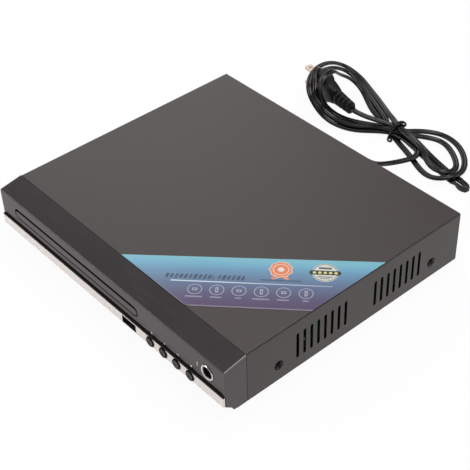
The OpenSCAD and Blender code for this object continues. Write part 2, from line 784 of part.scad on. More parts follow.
module disc_tray() {
    first = ceil((rack_ys[0] + 2 - drive_at[1]) / tooth_pitch);
    last = floor((rack_ys[1] - 2 - drive_at[1]) / tooth_pitch);
    color("#2c2c2e") in_case() {
        difference() {
            translate([0, 0, tray_z]) linear_extrude(tray_t) tray_plan();
            post([tray_x, disc_y], tray_top - recess_d, disc_d / 2 + 0.6, recess_d + 1);
            post([tray_x, disc_y], tray_top - recess_d - 0.7, 40.5, recess_d + 1);
            // Finger dip at the front edge of the disc
            post([tray_x, disc_y - disc_d / 2], tray_top - recess_d - 0.9, 7, recess_d + 2);
            block([tray_left - 1, rack_ys[0], rack_z - 1], [rack_line + 1.15 * gear_m, rack_ys[1], rack_z + rack_h]);
            // Hollows under the tail
            for (sx = [-1, 1]) block([tray_x + sx * 44 - 12, tray_end - 10, tray_z - 1],
                [tray_x + sx * 44 + 12, tray_end - 3, tray_z + tray_t - 1.4]);
        }
        for (k = [first : last])
            translate([rack_line, drive_at[1] + (k + 0.5) * tooth_pitch, rack_z]) rack_tooth();
    }
}

// ---- loader ----

module loader_wall(sx, y0, z0) {
    x = tray_x + (sx > 0 ? wall_in : -wall_out);
    block([x, y0, z0], [x + rail_t, loader_end, rail_top]);
}

// Ledge under the tray's edge and tabs over it
module loader_guides(sx) {
    x = sx > 0 ? tray_x + wall_in - 2.6 : tray_x - wall_in - 0.1;
    block([x, 30, tray_z - slide_gap - 1.6], [x + 2.7, loader_end, tray_z - slide_gap]);
    for (y = [34, 98, loader_end - 14])
        block([x, y, tray_top + slide_gap], [x + 2.7, y + 9, tray_top + slide_gap + 1.4]);
}

module axle_pin(at, z_end) {
    post(at, deck_top - 0.1, axle_r, z_end - deck_top + 0.1);
}

module loader_frame() {
    left = tray_x - wall_out;
    right = tray_x + wall_out;
    gear_bay = drive_at[0] - drive_r - 2.2;
    color("#27282a") in_case() difference() {
        union() {
            loader_wall(-1, 43, wall_foot);
            loader_wall(-1, 31, big_gear_z + big_gear_t + 1.2);
            loader_wall(1, 27, wall_foot);
            loader_wall(1, 15, strip_top + 4.4);
            for (sx = [-1, 1]) loader_guides(sx);
            // Rear cross member and hinge posts
            block([left, loader_end - 5, wall_foot], [right, loader_end, tray_z - 4]);
            for (sx = [-1, 1]) {
                x = tray_x + sx * (traverse_half + 3.2);
                block([x - 2.6, hinge_at[1] - 4.5, wall_foot], [x + 2.6, loader_end - 4.9, hinge_at[2] + 4.5]);
            }
            // Gear deck, riser and motor deck
            block([gear_bay, deck_ys[0], deck_z], [motor_deck_xs[0], deck_ys[1], deck_top]);
            block([motor_deck_xs[0] - deck_t, 17.6, deck_z], [motor_deck_xs[0], deck_ys[1], motor_deck_z + deck_t]);
            block([motor_deck_xs[0] - 0.1, 17.6, motor_deck_z], [motor_deck_xs[1], deck_ys[1], motor_deck_z + deck_t]);
            block([motor_deck_xs[1] - 0.1, deck_ys[1] - 4, motor_deck_z], [right, deck_ys[1], motor_deck_z + 4]);
            // Rail under the cam slide and hooks over it
            block([left, cam_ys[0] - 0.5, cam_rail_z], [right, cam_ys[1] + 0.5, cam_rail_z + cam_rail_t]);
            for (sx = [-1, 1])
                block([tray_x + sx * (wall_in + rail_t / 2) - 4, cam_ys[0] - 0.5, cam_rail_z],
                    [tray_x + sx * (wall_in + rail_t / 2) + 4, cam_ys[1] + 0.5, wall_foot + 1]);
            block([motor_deck_xs[1] - 6, deck_ys[1] - 4, motor_deck_z], [motor_deck_xs[1], cam_ys[0] - 0.3, tray_z - 0.6]);
            block([motor_deck_xs[1] - 6, deck_ys[1] - 1, cam_top + 0.3], [motor_deck_xs[1], cam_ys[1] + 0.5, tray_z - 0.6]);
            // Axle pins
            // Arm over the rack gear, with its own pin and snap head, on the wall and a corner post
            block([gear_bay, deck_ys[0], arm_z], [left + rail_t, deck_ys[1] + 6, arm_z + 1.8]);
            block([gear_bay, deck_ys[0], deck_z], [gear_bay + 3, deck_ys[0] + 3, arm_z + 0.1]);
            block([gear_bay, deck_ys[0], arm_z], [gear_bay + 1.6, deck_ys[1] + 6, arm_z + 3.4]);
            post(drive_at, drive_gear_z - 0.3, axle_r, arm_z - drive_gear_z + 0.4);
            post(drive_at, drive_gear_z - 0.8, axle_r + 0.5, 0.6);
            axle_pin(idler_at, tray_z - 1.4);
            axle_pin(pulley_at, tray_z - 1.4);
            // Screw lugs
            for (sx = [-1, 1], y = lug_ys) {
                at = [tray_x + sx * (wall_out + lug_r), y];
                post(at, floor_z, lug_r, lug_z - floor_z);
                block([min(at[0], at[0] - sx * lug_r), y - lug_r, wall_foot],
                    [max(at[0], at[0] - sx * (lug_r + 0.1)), y + lug_r, lug_z]);
            }
        }
        for (sx = [-1, 1]) post_x(hinge_at[1], hinge_at[2], pin_r + 0.05,
            tray_x + sx * (traverse_half + 3.2) - 4, tray_x + sx * (traverse_half + 3.2) + 4);
        post(motor_at, motor_deck_z - 1, 3, deck_t + 2);
        for (sx = [-1, 1]) post(motor_at + [sx * 8.5, 0], motor_deck_z - 1, 1.1, deck_t + 2);
        for (sx = [-1, 1], y = lug_ys) post([tray_x + sx * (wall_out + lug_r), y], 0, shank_d / 2 + 0.05, top_z);
        for (at = bridge_screws) post(at, rail_top - 8, 1, 9);
        // Lightening holes in the side walls
        for (y = [60 : 22 : 130]) along_x(-body_w, body_w) translate([y, wall_foot + 3]) slot_shape(7, 8);
    }
}

cam_top = tray_z - 2.2;
bridge_screws = [for (sx = [-1, 1], y = bridge_ys) [tray_x + sx * (wall_in + rail_t / 2), y + (y < disc_y ? 4 : -4)]];

module gear_bore(at, z0, z1) {
    post(at, z0 - 1, axle_r + axle_gap, z1 - z0 + 2);
}

module drive_gear() {
    z1 = rack_z + rack_h;
    color("ivory") in_case() difference() {
        union() {
            translate([drive_at[0], drive_at[1], drive_gear_z]) rotate([0, 0, drive_angle])
                gear_disc(drive_teeth, z1 - drive_gear_z);
            post(drive_at, z1 - 0.1, 3, arm_z - z1 - 0.2);
        }
        gear_bore(drive_at, drive_gear_z, arm_z);
    }
}

module idler_gear() {
    z1 = tray_z - 2.2;
    color("white") in_case() difference() {
        union() {
            translate([idler_at[0], idler_at[1], 0]) rotate([0, 0, idler_angle]) {
                translate([0, 0, big_gear_z]) gear_disc(idler_teeth, big_gear_t);
                translate([0, 0, small_gear_z - 0.1]) gear_disc(idler_pinion, z1 - small_gear_z + 0.1);
            }
            post(idler_at, hub_z, 3, big_gear_z - hub_z + 0.1);
        }
        gear_bore(idler_at, hub_z, z1);
        // Dished web
        for (a = [0 : 60 : 300]) post(idler_at + 10.3 * [cos(a), sin(a)], big_gear_z - 1, 2.6, big_gear_t + 2);
    }
}

// Grooved pulley section, drawn from the axis outwards
module pulley_groove(r, z, h) {
    rotate_extrude() polygon([
        [0, z - h / 2], [r + belt_t + 0.4, z - h / 2], [r + belt_t + 0.4, z - h / 2 + 0.5],
        [r - 0.3, z - belt_t / 2 - 0.25], [r - 0.3, z + belt_t / 2 + 0.25],
        [r + belt_t + 0.4, z + h / 2 - 0.5], [r + belt_t + 0.4, z + h / 2], [0, z + h / 2]
    ]);
}

module pulley_gear() {
    z1 = belt_z + 1.4;
    color("white") in_case() difference() {
        union() {
            translate([pulley_at[0], pulley_at[1], 0]) {
                pulley_groove(pulley_r, belt_z, 2.8);
                rotate([0, 0, pulley_angle]) translate([0, 0, hub_z]) gear_disc(pulley_pinion, belt_z - 1.8 - hub_z);
                translate([0, 0, belt_z - 1.9]) cylinder(r = 3.4, h = 0.6);
            }
        }
        gear_bore(pulley_at, hub_z, z1);
        for (a = [0 : 72 : 288]) post(pulley_at + 7.4 * [cos(a), sin(a)], belt_z - 3, 2.2, 6);
    }
}

module motor_pulley() {
    color("white") in_case() translate([motor_at[0], motor_at[1], 0]) {
        pulley_groove(motor_pulley_r, belt_z, 2.8);
        translate([0, 0, motor_deck_z - 3]) cylinder(r = 1, h = belt_z - motor_deck_z + 2);
    }
}

// Round stretch of the belt on a pulley, from angle a over an arc
module belt_arc(at, r, a, arc) {
    translate([at[0], at[1], belt_z - belt_t / 2]) rotate([0, 0, a]) rotate_extrude(angle = arc)
        translate([r, 0]) square(belt_t);
}

// Straight stretch of the belt between the pulleys, on the side that the angle faces
module belt_run(a) {
    out = [cos(a), sin(a)];
    translate([0, 0, belt_z - belt_t / 2]) linear_extrude(belt_t) polygon([
        pulley_at + pulley_r * out, pulley_at + (pulley_r + belt_t) * out,
        motor_at + (motor_pulley_r + belt_t) * out, motor_at + motor_pulley_r * out
    ]);
}

module drive_belt() {
    way = motor_at - pulley_at;
    dir = atan2(way[1], way[0]);
    lean = acos((pulley_r - motor_pulley_r) / norm(way));
    color("#101010") in_case() {
        belt_arc(pulley_at, pulley_r, dir + lean, 360 - 2 * lean);
        belt_arc(motor_at, motor_pulley_r, dir - lean, 2 * lean);
        for (side = [-1, 1]) belt_run(dir + side * lean);
    }
}

module loading_motor() {
    top = motor_deck_z;
    color("silver") in_case() difference() {
        union() {
            intersection() {
                post(motor_at, floor_z + 1, motor_r, top - floor_z - 1);
                block([motor_at[0] - 20, motor_at[1] - 9.8, 0], [motor_at[0] + 20, motor_at[1] + 9.8, top]);
            }
            post(motor_at, top - 0.1, 2.9, 0.9);
        }
        post(motor_at, top - 4, 1.05, 6);
    }
}

// Slanted slot of the cam, drawn in X and Z
module cam_slot() {
    r = cam_pin_r + 0.3;
    rise = hinge_at[2] - cam_low;
    slant = atan2(rise, cam_travel);
    run = norm([cam_travel, rise]);
    translate([cam_pin_x, cam_low]) rotate(slant) {
        circle(r);
        translate([run, 0]) circle(r);
        translate([0, -r]) square([run, 2 * r]);
    }
}

module cam_slide() {
    z0 = cam_rail_z + cam_rail_t + 0.3;
    x0 = cam_pin_x - 16;
    color("whitesmoke") in_case() difference() {
        union() {
            block([x0, cam_ys[0], z0], [x0 + 52, cam_ys[1], cam_top - 3]);
            block([x0 + 4, cam_ys[0], z0], [x0 + 44, cam_ys[1], cam_top]);
        }
        along_y(cam_ys[0] - 1, cam_ys[1] + 1) cam_slot();
        along_y(cam_ys[0] - 1, cam_ys[1] + 1) translate([x0 + 43, z0 + 2]) soft_rect(9, 4, 1);
    }
}

module clamp_bridge() {
    half = wall_out;
    color("#2a2b2d") in_case() difference() {
        union() {
            block([tray_x - half, bridge_ys[0], rail_top], [tray_x + half, bridge_ys[1], bridge_top]);
            for (y = [bridge_ys[0], bridge_ys[1] - 1.4])
                block([tray_x - half + 8, y, rail_top], [tray_x + half - 8, y + 1.4, bridge_top + 2.6]);
            post([tray_x, disc_y], rail_top, clamp_r + 3, bridge_t + 0.8);
        }
        post([tray_x, disc_y], rail_top - 1, clamp_hole_r, 20);
        post([tray_x, disc_y], bridge_top, clamp_r + 1.5, 20);
        for (at = bridge_screws) post(at, rail_top - 1, 1.2, bridge_t + 2);
        for (sx = [-1, 1]) translate([tray_x + sx * 40, disc_y, rail_top - 1]) linear_extrude(bridge_t + 2)
            translate([0, -8]) soft_rect(26, 16, 3);
    }
}

// Spool that hangs in the bridge and presses the disc on the turntable
module clamp_puck() {
    low = tray_top + slide_gap;
    lid = bridge_top + 0.3;
    color("#d8d8d4") in_case() translate([tray_x, disc_y, 0]) rotate_extrude() polygon([
        [0, low + 1.7], [7.6, low + 1.7], [8.4, low + 0.3], [9.6, low], [clamp_r - 0.6, low], [clamp_r, low + 0.6],
        [clamp_r, rail_top - 0.4], [clamp_hole_r - 0.5, rail_top - 0.4], [clamp_hole_r - 0.5, lid],
        [clamp_r - 0.5, lid], [clamp_r - 0.5, lid + 1.2], [8.6, lid + 1.2], [8.6, lid - 0.6], [0, lid - 0.6]
    ]);
}

module clamp_magnet() {
    lid = bridge_top + 0.3;
    color("gray") in_case() difference() {
        post([tray_x, disc_y], lid - 0.6, 8.4, 1.8);
        post([tray_x, disc_y], lid - 1, 3, 3);
    }
}

// ---- traverse ----

module traverse_frame() {
    y0 = ring_ys[0];
    y1 = ring_ys[1];
    w = traverse_half;
    color("#1e1f21") on_traverse() difference() {
        union() {
            difference() {
                translate([tray_x, 0, ring_z]) linear_extrude(ring_h) translate([0, y0]) soft_rect(2 * w, y1 - y0, 3);
                translate([tray_x, 0, ring_z - 1]) linear_extrude(ring_h + 2)
                    translate([0, y0 + ring_t]) soft_rect(2 * (w - ring_t), y1 - y0 - 2 * ring_t, 2);
            }
            for (at = damper_at) post(at, ring_z, damper_r, ring_h);
            for (sx = [-1, 1]) post_x(hinge_at[1], hinge_at[2], pin_r,
                tray_x + (sx > 0 ? w - 0.5 : -w - 5.4), tray_x + (sx > 0 ? w + 5.4 : -w + 0.5));
            post_y(cam_pin_x, hinge_at[2], cam_pin_r, cam_ys[0] - 0.3, y0 + 0.5);
        }
        for (at = damper_at) post(at, ring_z - 1, 1.2, ring_h + 2);
    }
}

damper_at = [for (sx = [-1, 1], y = [ring_ys[0] + damper_r, ring_ys[1] - damper_r])
    [tray_x + sx * (traverse_half - damper_r), y]];

module dampers() {
    color("black") on_traverse() for (at = damper_at) difference() {
        post(at, ring_z + ring_h, damper_r, damper_h);
        post(at, ring_z + ring_h - 1, 1.6, damper_h + 2);
    }
}

module sled_base() {
    w = traverse_half - 1;
    color("lightgray") on_traverse() difference() {
        union() {
            translate([tray_x, 0, plate_z]) linear_extrude(plate_t)
                translate([0, ring_ys[0] + 1]) soft_rect(2 * w, ring_ys[1] - ring_ys[0] - 1, 3);
            // Brackets that hold the guide rods and the screw
            for (y = [window_ys[0] - 2, window_ys[1]], x = [tray_x - rod_x, tray_x + rod_x])
                block([x - 3, y, rod_z - 3], [x + 3, y + 2, plate_z + 0.1]);
            block([feed_x - 3, window_ys[0] - 2, feed_z - 3], [feed_x + 3, window_ys[0], plate_z + 0.1]);
            block([feed_x - 3.6, feed_ys[1] + 0.4, feed_z - 4.4], [feed_x + 4.4, feed_ys[1] + 1.4, plate_z + 0.1]);
        }
        block([window_xs[0], window_ys[0], plate_z - 1], [window_xs[1], feed_ys[1] + 0.4, plate_top + 1]);
        block([window_xs[0] + 9, window_ys[0], plate_z - 1], [window_xs[1], window_ys[1], plate_top + 1]);
        post([tray_x, disc_y], plate_z - 1, 5.2, plate_t + 2);
        for (x = [tray_x - rod_x, tray_x + rod_x])
            post_y(x, rod_z, rod_r + 0.05, window_ys[0] - 3, window_ys[1] + 3);
        post_y(feed_x, feed_z, 1.1, window_ys[0] - 3, feed_ys[1] + 3);
        for (at = damper_at) post(at, plate_z - 1, 1.6, plate_t + 2);
    }
}

module guide_rods() {
    color("silver") on_traverse() for (x = [tray_x - rod_x, tray_x + rod_x])
        post_y(x, rod_z, rod_r, window_ys[0] - 2, window_ys[1] + 2);
}

module spindle_motor() {
    h = 6.4;
    color("silver") on_traverse() difference() {
        union() {
            post([tray_x, disc_y], plate_z - h, 11.2, h - 0.8);
            post([tray_x, disc_y], plate_z - 0.81, 11.9, 0.81);
            post([tray_x, disc_y], plate_z - 0.1, 4.8, 1);
        }
        post([tray_x, disc_y], plate_z - h + 1, 1.05, h + 2);
    }
}

module turntable() {
    rim_z = disc_z - 0.2;
    color("#222224") on_traverse() translate([tray_x, disc_y, 0]) rotate_extrude() polygon([
        [0, plate_z - 4], [1, plate_z - 4], [1, plate_top + 0.4], [3.4, plate_top + 0.4], [3.4, rim_z - 1.6],
        [turntable_r, rim_z - 1.6], [turntable_r, rim_z], [7.3, rim_z], [7.3, disc_z + 1], [5.6, disc_z + 2.4],
        [0, disc_z + 2.4]
    ]);
}

module turntable_pad() {
    color("#3a3a3a") on_traverse() difference() {
        post([tray_x, disc_y], disc_z - 0.2, turntable_r - 0.2, 0.2);
        post([tray_x, disc_y], disc_z - 1, 9, 2);
    }
}

module pickup_body() {
    x0 = tray_x - 19;
    x1 = tray_x + 19;
    y0 = lens_y - 11.6;
    y1 = lens_y + 12.5;
    gap = 0.05;
    color("#55575a") on_traverse() difference() {
        union() {
            block([x0, y0, plate_z - 7.5], [x1, y1, plate_top + 0.4]);
            block([tray_x - 11, lens_y - 9, plate_top + 0.3], [tray_x + 11, lens_y + 10, plate_top + 1.5]);
            // Long bearing on one rod, fork on the other
            block([tray_x - rod_x - 3, y0 + 2, rod_z - 3], [x0 + 0.1, y1 - 2, rod_z + 3]);
            block([x1 - 0.1, lens_y - 4, rod_z - 3], [tray_x + rod_x + 2.6, lens_y + 4, rod_z + 3]);
            // Arm over the feed screw
            block([feed_x - 1, lens_y - 3, feed_z + 1.8], [x0, lens_y + 2, feed_z + 2.8]);
        }
        post_y(tray_x - rod_x, rod_z, rod_r + gap, y0 - 5, y1 + 5);
        post_y(tray_x + rod_x, rod_z, rod_r + 0.3, y0 - 5, y1 + 5);
        block([tray_x + rod_x, y0, rod_z - rod_r - 0.3], [tray_x + rod_x + 5, y1, rod_z + rod_r + 0.3]);
        post([tray_x, lens_y], plate_top, 3.3, 5);
    }
}

module pickup_lens() {
    z0 = plate_top;
    color("lightblue") on_traverse() translate([tray_x, lens_y, 0]) rotate_extrude() polygon([
        [0, z0], [3.1, z0], [3.1, z0 + 2.2], [2.4, z0 + 2.6], [1.5, z0 + 3], [0, z0 + 3.2]
    ]);
}

// Screw that draws the pickup along, with its shallow thread as rings
module feed_screw() {
    pitch = 3;
    turns = floor((feed_ys[1] - feed_ys[0] - 4) / pitch);
    color("silver") on_traverse() difference() {
        union() {
            post_y(feed_x, feed_z, 1, window_ys[0] - 1.8, feed_ys[1] + 3);
            post_y(feed_x, feed_z, 1.5, feed_ys[0], feed_ys[1]);
        }
        for (i = [0 : turns - 1]) translate([feed_x, feed_ys[0] + 2 + i * pitch, feed_z]) rotate([-90, 0, 0])
            difference() {
                cylinder(r = 2, h = 0.6);
                translate([0, 0, -1]) cylinder(r = 1.25, h = 3);
            }
    }
}

module feed_motor() {
    y0 = feed_ys[1] + 1.4;
    color("silver") on_traverse() difference() {
        post_y(feed_x, feed_z, feed_motor_r, y0, y0 + 10);
        post_y(feed_x, feed_z, 1.05, y0 - 1, y0 + 3);
    }
}

// ---- boards ----

module board(x, y) {
    color("darkgreen") in_case() difference() {
        block([x[0], y[0], board_z], [x[1], y[1], board_top]);
        for (at = board_holes) post(at, board_z - 1, shank_d / 2 + 0.1, board_t + 2);
    }
}

module main_board() { board(main_x, main_y); }
module power_board() { board(power_x, power_y); }

// Chips, heat spreader and connectors of the main board
module main_chips() {
    z = board_top;
    x = main_x[0];
    y = main_y[0];
    color("#202224") in_case() {
        block([x + 20, y + 34, z], [x + 38, y + 52, z + 1.4]);
        for (i = [0 : 4]) block([x + 20 + i * 3.9, y + 34, z + 1.4], [x + 22.4 + i * 3.9, y + 52, z + 8]);
        block([x + 44, y + 38, z], [x + 52, y + 48, z + 1.2]);
        block([x + 14, y + 62, z], [x + 20, y + 70, z + 1.6]);
        block([x + 6, y + 14, z], [x + 9, y + 32, z + 4.5]);
        block([x + 24, y + 8, z], [x + 44, y + 14, z + 6]);
        for (i = [0 : 3]) post([x + 34 + i * 6.4, y + 78], z, 2.5, 7);
        for (i = [0 : 2]) post([x + 12, y + 78 + i * 7], z, 2.5, 7);
    }
}

module av_sockets() {
    y1 = body_d - sheet_t;
    color("#1d1d1f") in_case() difference() {
        union() {
            block([av_xs[0] - 6.5, panel_y - 11, board_top], [av_xs[2] + 6.5, panel_y, av_z + 8.5]);
            for (x = av_xs) post_y(x, av_z, av_r - 0.4, panel_y - 0.1, y1 + 0.3);
            for (x = av_xs) post_y(x, av_z, av_r, y1 + 0.2, y1 + av_proud);
        }
        for (x = av_xs) post_y(x, av_z, 1.6, panel_y - 6, y1 + av_proud + 1);
        for (x = av_xs) difference() {
            post_y(x, av_z, 3.6, y1 + 1, y1 + av_proud + 1);
            post_y(x, av_z, 2.3, y1, y1 + av_proud + 2);
        }
        for (x = av_screw_xs) post_y(x, av_z + 6.5, 1.1, panel_y - 8, panel_y + 1);
    }
}

module hdmi_socket() {
    y1 = body_d - sheet_t;
    color("silver") in_case() {
        difference() {
            along_y(y1 - 11, y1) polygon(hdmi_shape(7.5, 5.55));
            along_y(y1 - 9.5, y1 + 1) polygon(hdmi_shape(7, 4.55));
        }
        block([hdmi_x - 5.8, y1 - 9.6, hdmi_z - 0.2], [hdmi_x + 5.8, y1 - 1.6, hdmi_z + 0.6]);
        block([hdmi_x - 7.5, y1 - 11, board_top], [hdmi_x + 7.5, y1 - 3, hdmi_z - 5.55 / 2 + 0.01]);
    }
}

// Section of the socket with its two lower corners cut off
function hdmi_shape(half, h) = [
    [hdmi_x - half, hdmi_z + h / 2], [hdmi_x + half, hdmi_z + h / 2], [hdmi_x + half, hdmi_z],
    [hdmi_x + half - 2, hdmi_z - h / 2], [hdmi_x - half + 2, hdmi_z - h / 2], [hdmi_x - half, hdmi_z]
];

module power_transformer() {
    x = power_x[0] + 62;
    y = power_y[0] + 4.5;
    z = board_top;
    color("gold") in_case() {
        block([x, y, z], [x + 17, y + 18, z + 3]);
        block([x + 3, y + 1, z + 3], [x + 14, y + 17, z + 12]);
        block([x, y, z + 12], [x + 17, y + 18, z + 15]);
        block([x, y + 6.5, z + 3], [x + 3, y + 11.5, z + 12]);
        block([x + 14, y + 6.5, z + 3], [x + 17, y + 11.5, z + 12]);
    }
}

module filter_capacitors() {
    y = (power_y[0] + power_y[1]) / 2;
    color("#1f2430") in_case() {
        post([power_x[0] + 50, y], board_top, 6.5, 16);
        for (i = [0 : 2]) post([power_x[0] + 14 + i * 9.5, y - 3], board_top, 4, 13);
        block([power_x[0] + 84, y - 4, board_top], [power_x[0] + 96, y + 4, board_top + 10]);
        block([power_x[0] + 30, y + 5, board_top], [power_x[0] + 42, y + 8, board_top + 12]);
    }
}

// ---- fasteners ----

module side_screws() {
    color("#2b2b2d") in_case() for (sx = [-1, 1], y = screw_ys)
        translate([sx * (side_x - dimple_h), y, foot_h + screw_rise]) rotate([0, sx * 90, 0])
            screw(head_d, 1.5, shank_d, 5);
}

module rear_screws() {
    color("#2b2b2d") in_case() {
        for (x = rear_screw_xs) translate([x, body_d, roof_z - 4]) rotate([-90, 0, 0])
            screw(head_d, 1.5, shank_d, 5);
        for (x = av_screw_xs) translate([x, body_d - sheet_t, av_z + 6.5]) rotate([-90, 0, 0])
            screw(4.6, 1.4, 2.1, 6);
    }
}

module board_screws() {
    color("silver") in_case() {
        for (at = board_holes) translate([at[0], at[1], board_top]) screw(5, 1.4, shank_d, board_t + standoff_h - 1);
        for (x = post_xs) translate([x, front_board_y + board_t, button_z]) rotate([-90, 0, 0])
            screw(4.4, 1.3, 1.9, board_t + 4);
    }
}

module loader_screws() {
    color("silver") in_case() {
        for (sx = [-1, 1], y = lug_ys) translate([tray_x + sx * (wall_out + lug_r), y, lug_z])
            screw(5.4, 1.5, shank_d, lug_z - foot_h - 0.1);
        for (at = bridge_screws) translate([at[0], at[1], bridge_top]) screw(4, 1.2, 1.9, 8);
        for (sx = [-1, 1]) translate([motor_at[0] + sx * 8.5, motor_at[1], motor_deck_z + deck_t])
            screw(3.6, 0.9, 2.1, deck_t);
    }
}

// ---- label and lead ----

label_t = 0.2;
label_right = side_x - 0.4;
label_left = label_right - 114.5;
label_y = bezel_d + seam_gap + 0.2;
label_back = label_y + 111.5;
label_front = label_y + 50;
label_turn = 43.4;
label_r = 9.5;

// Diagonal sheet stuck on the cover, in plan, with its lower left corner rounded
module label_sheet() {
    way = label_front - label_y - label_r * (1 - cos(label_turn));
    bend_at = [label_right - way / tan(label_turn) - label_r * sin(label_turn), label_y + label_r];
    color("steelblue") in_case() translate([0, 0, top_z]) linear_extrude(label_t) polygon(concat(
        [[label_right, label_front], [label_right, label_back], [label_left, label_y]],
        [for (a = [0 : label_turn / 5 : label_turn]) bend_at + label_r * [sin(a), -cos(a)]]
    ));
}

module cord_grip() {
    y1 = body_d - sheet_t;
    color("#19191b") in_case() {
        along_y(y1, y1 + 2.4) translate([grip_x, grip_z - 5]) soft_rect(11, 10, 2);
        along_y(panel_y - 2.6, panel_y) translate([grip_x, grip_z - 4.2]) soft_rect(10, 8.4, 1.5);
        along_y(panel_y - 0.01, y1 + 0.01) translate([grip_x, grip_z - grip_neck_h / 2 + 0.05])
            soft_rect(grip_neck_w - 0.1, grip_neck_h - 0.1, 1);
        for (i = [0 : 3]) {
            shrink = 0.55 * i;
            y = y1 + 2.3 + i * (grip_len - 2.4) / 4;
            along_y(y, y + (grip_len - 2.4) / 4 - 0.7) translate([grip_x, grip_z - 3.6 + shrink / 2])
                soft_rect(8 - shrink, 7.2 - shrink, 1.4);
            along_y(y - 0.1, y + (grip_len - 2.4) / 4 + 0.1) translate([grip_x, grip_z - 2.1]) soft_rect(5.6, 4.2, 1.2);
        }
    }
}

function unit(v) = v / norm(v);

// Ring of eight points of the flat lead at one point of its route
function lead_ring(p, along) =
    let (side = unit(cross(along, [0, 0, 1])), up = unit(cross(side, along)))
    [for (i = [0 : 7]) p + side * cord_w / 2 * cos(i * 45 + 22.5) + up * cord_t / 2 * sin(i * 45 + 22.5)];

function route_dir(route, i) = unit(route[min(i + 1, len(route) - 1)] - route[max(i - 1, 0)]);

// Sweeps the lead along a route
module lead_tube(route) {
    last = len(route) - 1;
    points = [for (i = [0 : last], q = lead_ring(route[i], route_dir(route, i))) q];
    faces = concat(
        [[for (k = [0 : 7]) k]],
        [for (i = [0 : last - 1], k = [0 : 7])
            [i * 8 + k, (i + 1) * 8 + k, (i + 1) * 8 + (k + 1) % 8, i * 8 + (k + 1) % 8]],
        [[for (k = [7 : -1 : 0]) last * 8 + k]]
    );
    polyhedron(points = points, faces = faces);
}

module cord_lead() {
    color("#202020") in_case() lead_tube(lead_route);
}

module plug_lead() {
    color("#202020") in_case() lead_tube(plug_route);
}

// Point on a smooth curve through a to d, between b and c
function between(a, b, c, d, t) =
    0.5 * (2 * b + (c - a) * t + (2 * a - 5 * b + 4 * c - d) * t * t + (3 * b - a - 3 * c + d) * t * t * t);

function smooth(p) =
    let (last = len(p) - 1)
    concat([for (i = [0 : last - 1], t = [0, 0.25, 0.5, 0.75])
        between(p[max(i - 1, 0)], p[i], p[i + 1], p[min(i + 2, last)], t)], [p[last]]);

// Bundle of strands along a smooth line, narrow at the tie and spread at the far end
module strands(points, half_w) {
    line = smooth(points);
    last = len(line) - 1;
    edge = function (side) [for (i = [0 : last])
        let (
            way = line[min(i + 1, last)] - line[max(i - 1, 0)],
            out = [-way[1], way[0]] / norm(way),
            w = cord_w / 2 + (half_w - cord_w / 2) * sin(180 * i / last)
        )
        line[i] + side * w * out];
    left = edge(1);
    right = edge(-1);
    polygon(concat(right, [for (i = [last : -1 : 0]) left[i]]));
    translate(line[last]) circle(cord_w / 2 - 0.1);
}

module hank_plan() {
    strands(left_loop, 7);
    strands(right_loop, 6);
    strands(thin_bight, cord_w / 2 + 0.6);
    translate(tie_at) rotate(tie_turn) translate([-9, -waist_half]) square([18, 2 * waist_half]);
}

module cord_hank() {
    color("#202020") in_case() difference() {
        translate([0, 0, 0.2]) linear_extrude(hank_h) hank_plan();
        // Room for the plug that stands in the loop, and for the tie under the waist
        translate([plug_at[0], plug_at[1], 0]) rotate([0, 0, plug_turn])
            block([-plug_len - 1, -plug_t / 2 - 0.3, -1], [18, plug_t / 2 + 0.3, 20]);
        on_waist() block([-tie_w / 2 - 0.1, -20, -1], [tie_w / 2 + 0.1, 20, tie_t + 0.1]);
        for (side = [-1, 1]) on_waist()
            block([-tie_w / 2 - 0.1, side > 0 ? waist_half : -20, -1], [tie_w / 2 + 0.1, side > 0 ? 20 : -waist_half, 20]);
    }
}

module on_waist() {
    translate([tie_at[0], tie_at[1], 0]) rotate([0, 0, tie_turn]) children();
}

// Wire tie round the middle of the hank
module cord_tie() {
    top = 0.2 + hank_h;
    color("#151515") in_case() on_waist() difference() {
        block([-tie_w / 2, -waist_half - tie_t, 0.1], [tie_w / 2, waist_half + tie_t, top + tie_t]);
        block([-tie_w, -waist_half, 0.1 + tie_t], [tie_w, waist_half, top]);
    }
}

module plug_body() {
    color("#18181a") in_case() translate(plug_at) rotate([0, 0, plug_turn]) rotate([90, 0, 0]) {
        // Flat head, waist and stepped strain relief, lying along X with the blades at +X
        difference() {
            translate([0, 0, -plug_t / 2]) linear_extrude(plug_t) polygon([
                [0, -plug_w / 2 + 1], [0, plug_w / 2 - 1], [-1, plug_w / 2], [-9, plug_w / 2],
                [-14, plug_w / 2 - 2.5], [-19, 6.4], [-plug_len, 5], [-plug_len, -5], [-19, -6.4],
                [-14, -plug_w / 2 + 2.5], [-9, -plug_w / 2], [-1, -plug_w / 2]
            ]);
            for (s = [-1, 1]) translate([-12, 0, s * (plug_t / 2 + 14.2)]) rotate([90, 0, 0])
                translate([0, 0, -20]) cylinder(r = 15, h = 40);
        }
        for (i = [0 : 3]) translate([-plug_len - 4.5 * i - 3.3, 0, 0]) rotate([0, 90, 0])
            cylinder(r = 4.9 - 0.35 * i, h = 3.4);
        translate([-plug_len - 18.6, 0, 0]) rotate([0, 90, 0]) cylinder(r = 3, h = 18.7);
    }
}

module plug_blades() {
    color("goldenrod") in_case() translate(plug_at) rotate([0, 0, plug_turn])
        for (s = [-1, 1]) difference() {
            translate([0, 0, s * blade_gap / 2 - 0.75]) linear_extrude(1.5) polygon([
                [0, -3.15], [16, -3.15], [17, -2.2], [17, 2.2], [16, 3.15], [0, 3.15]
            ]);
            post([13, 0], s * blade_gap / 2 - 5, 1.5, 10);
        }
}

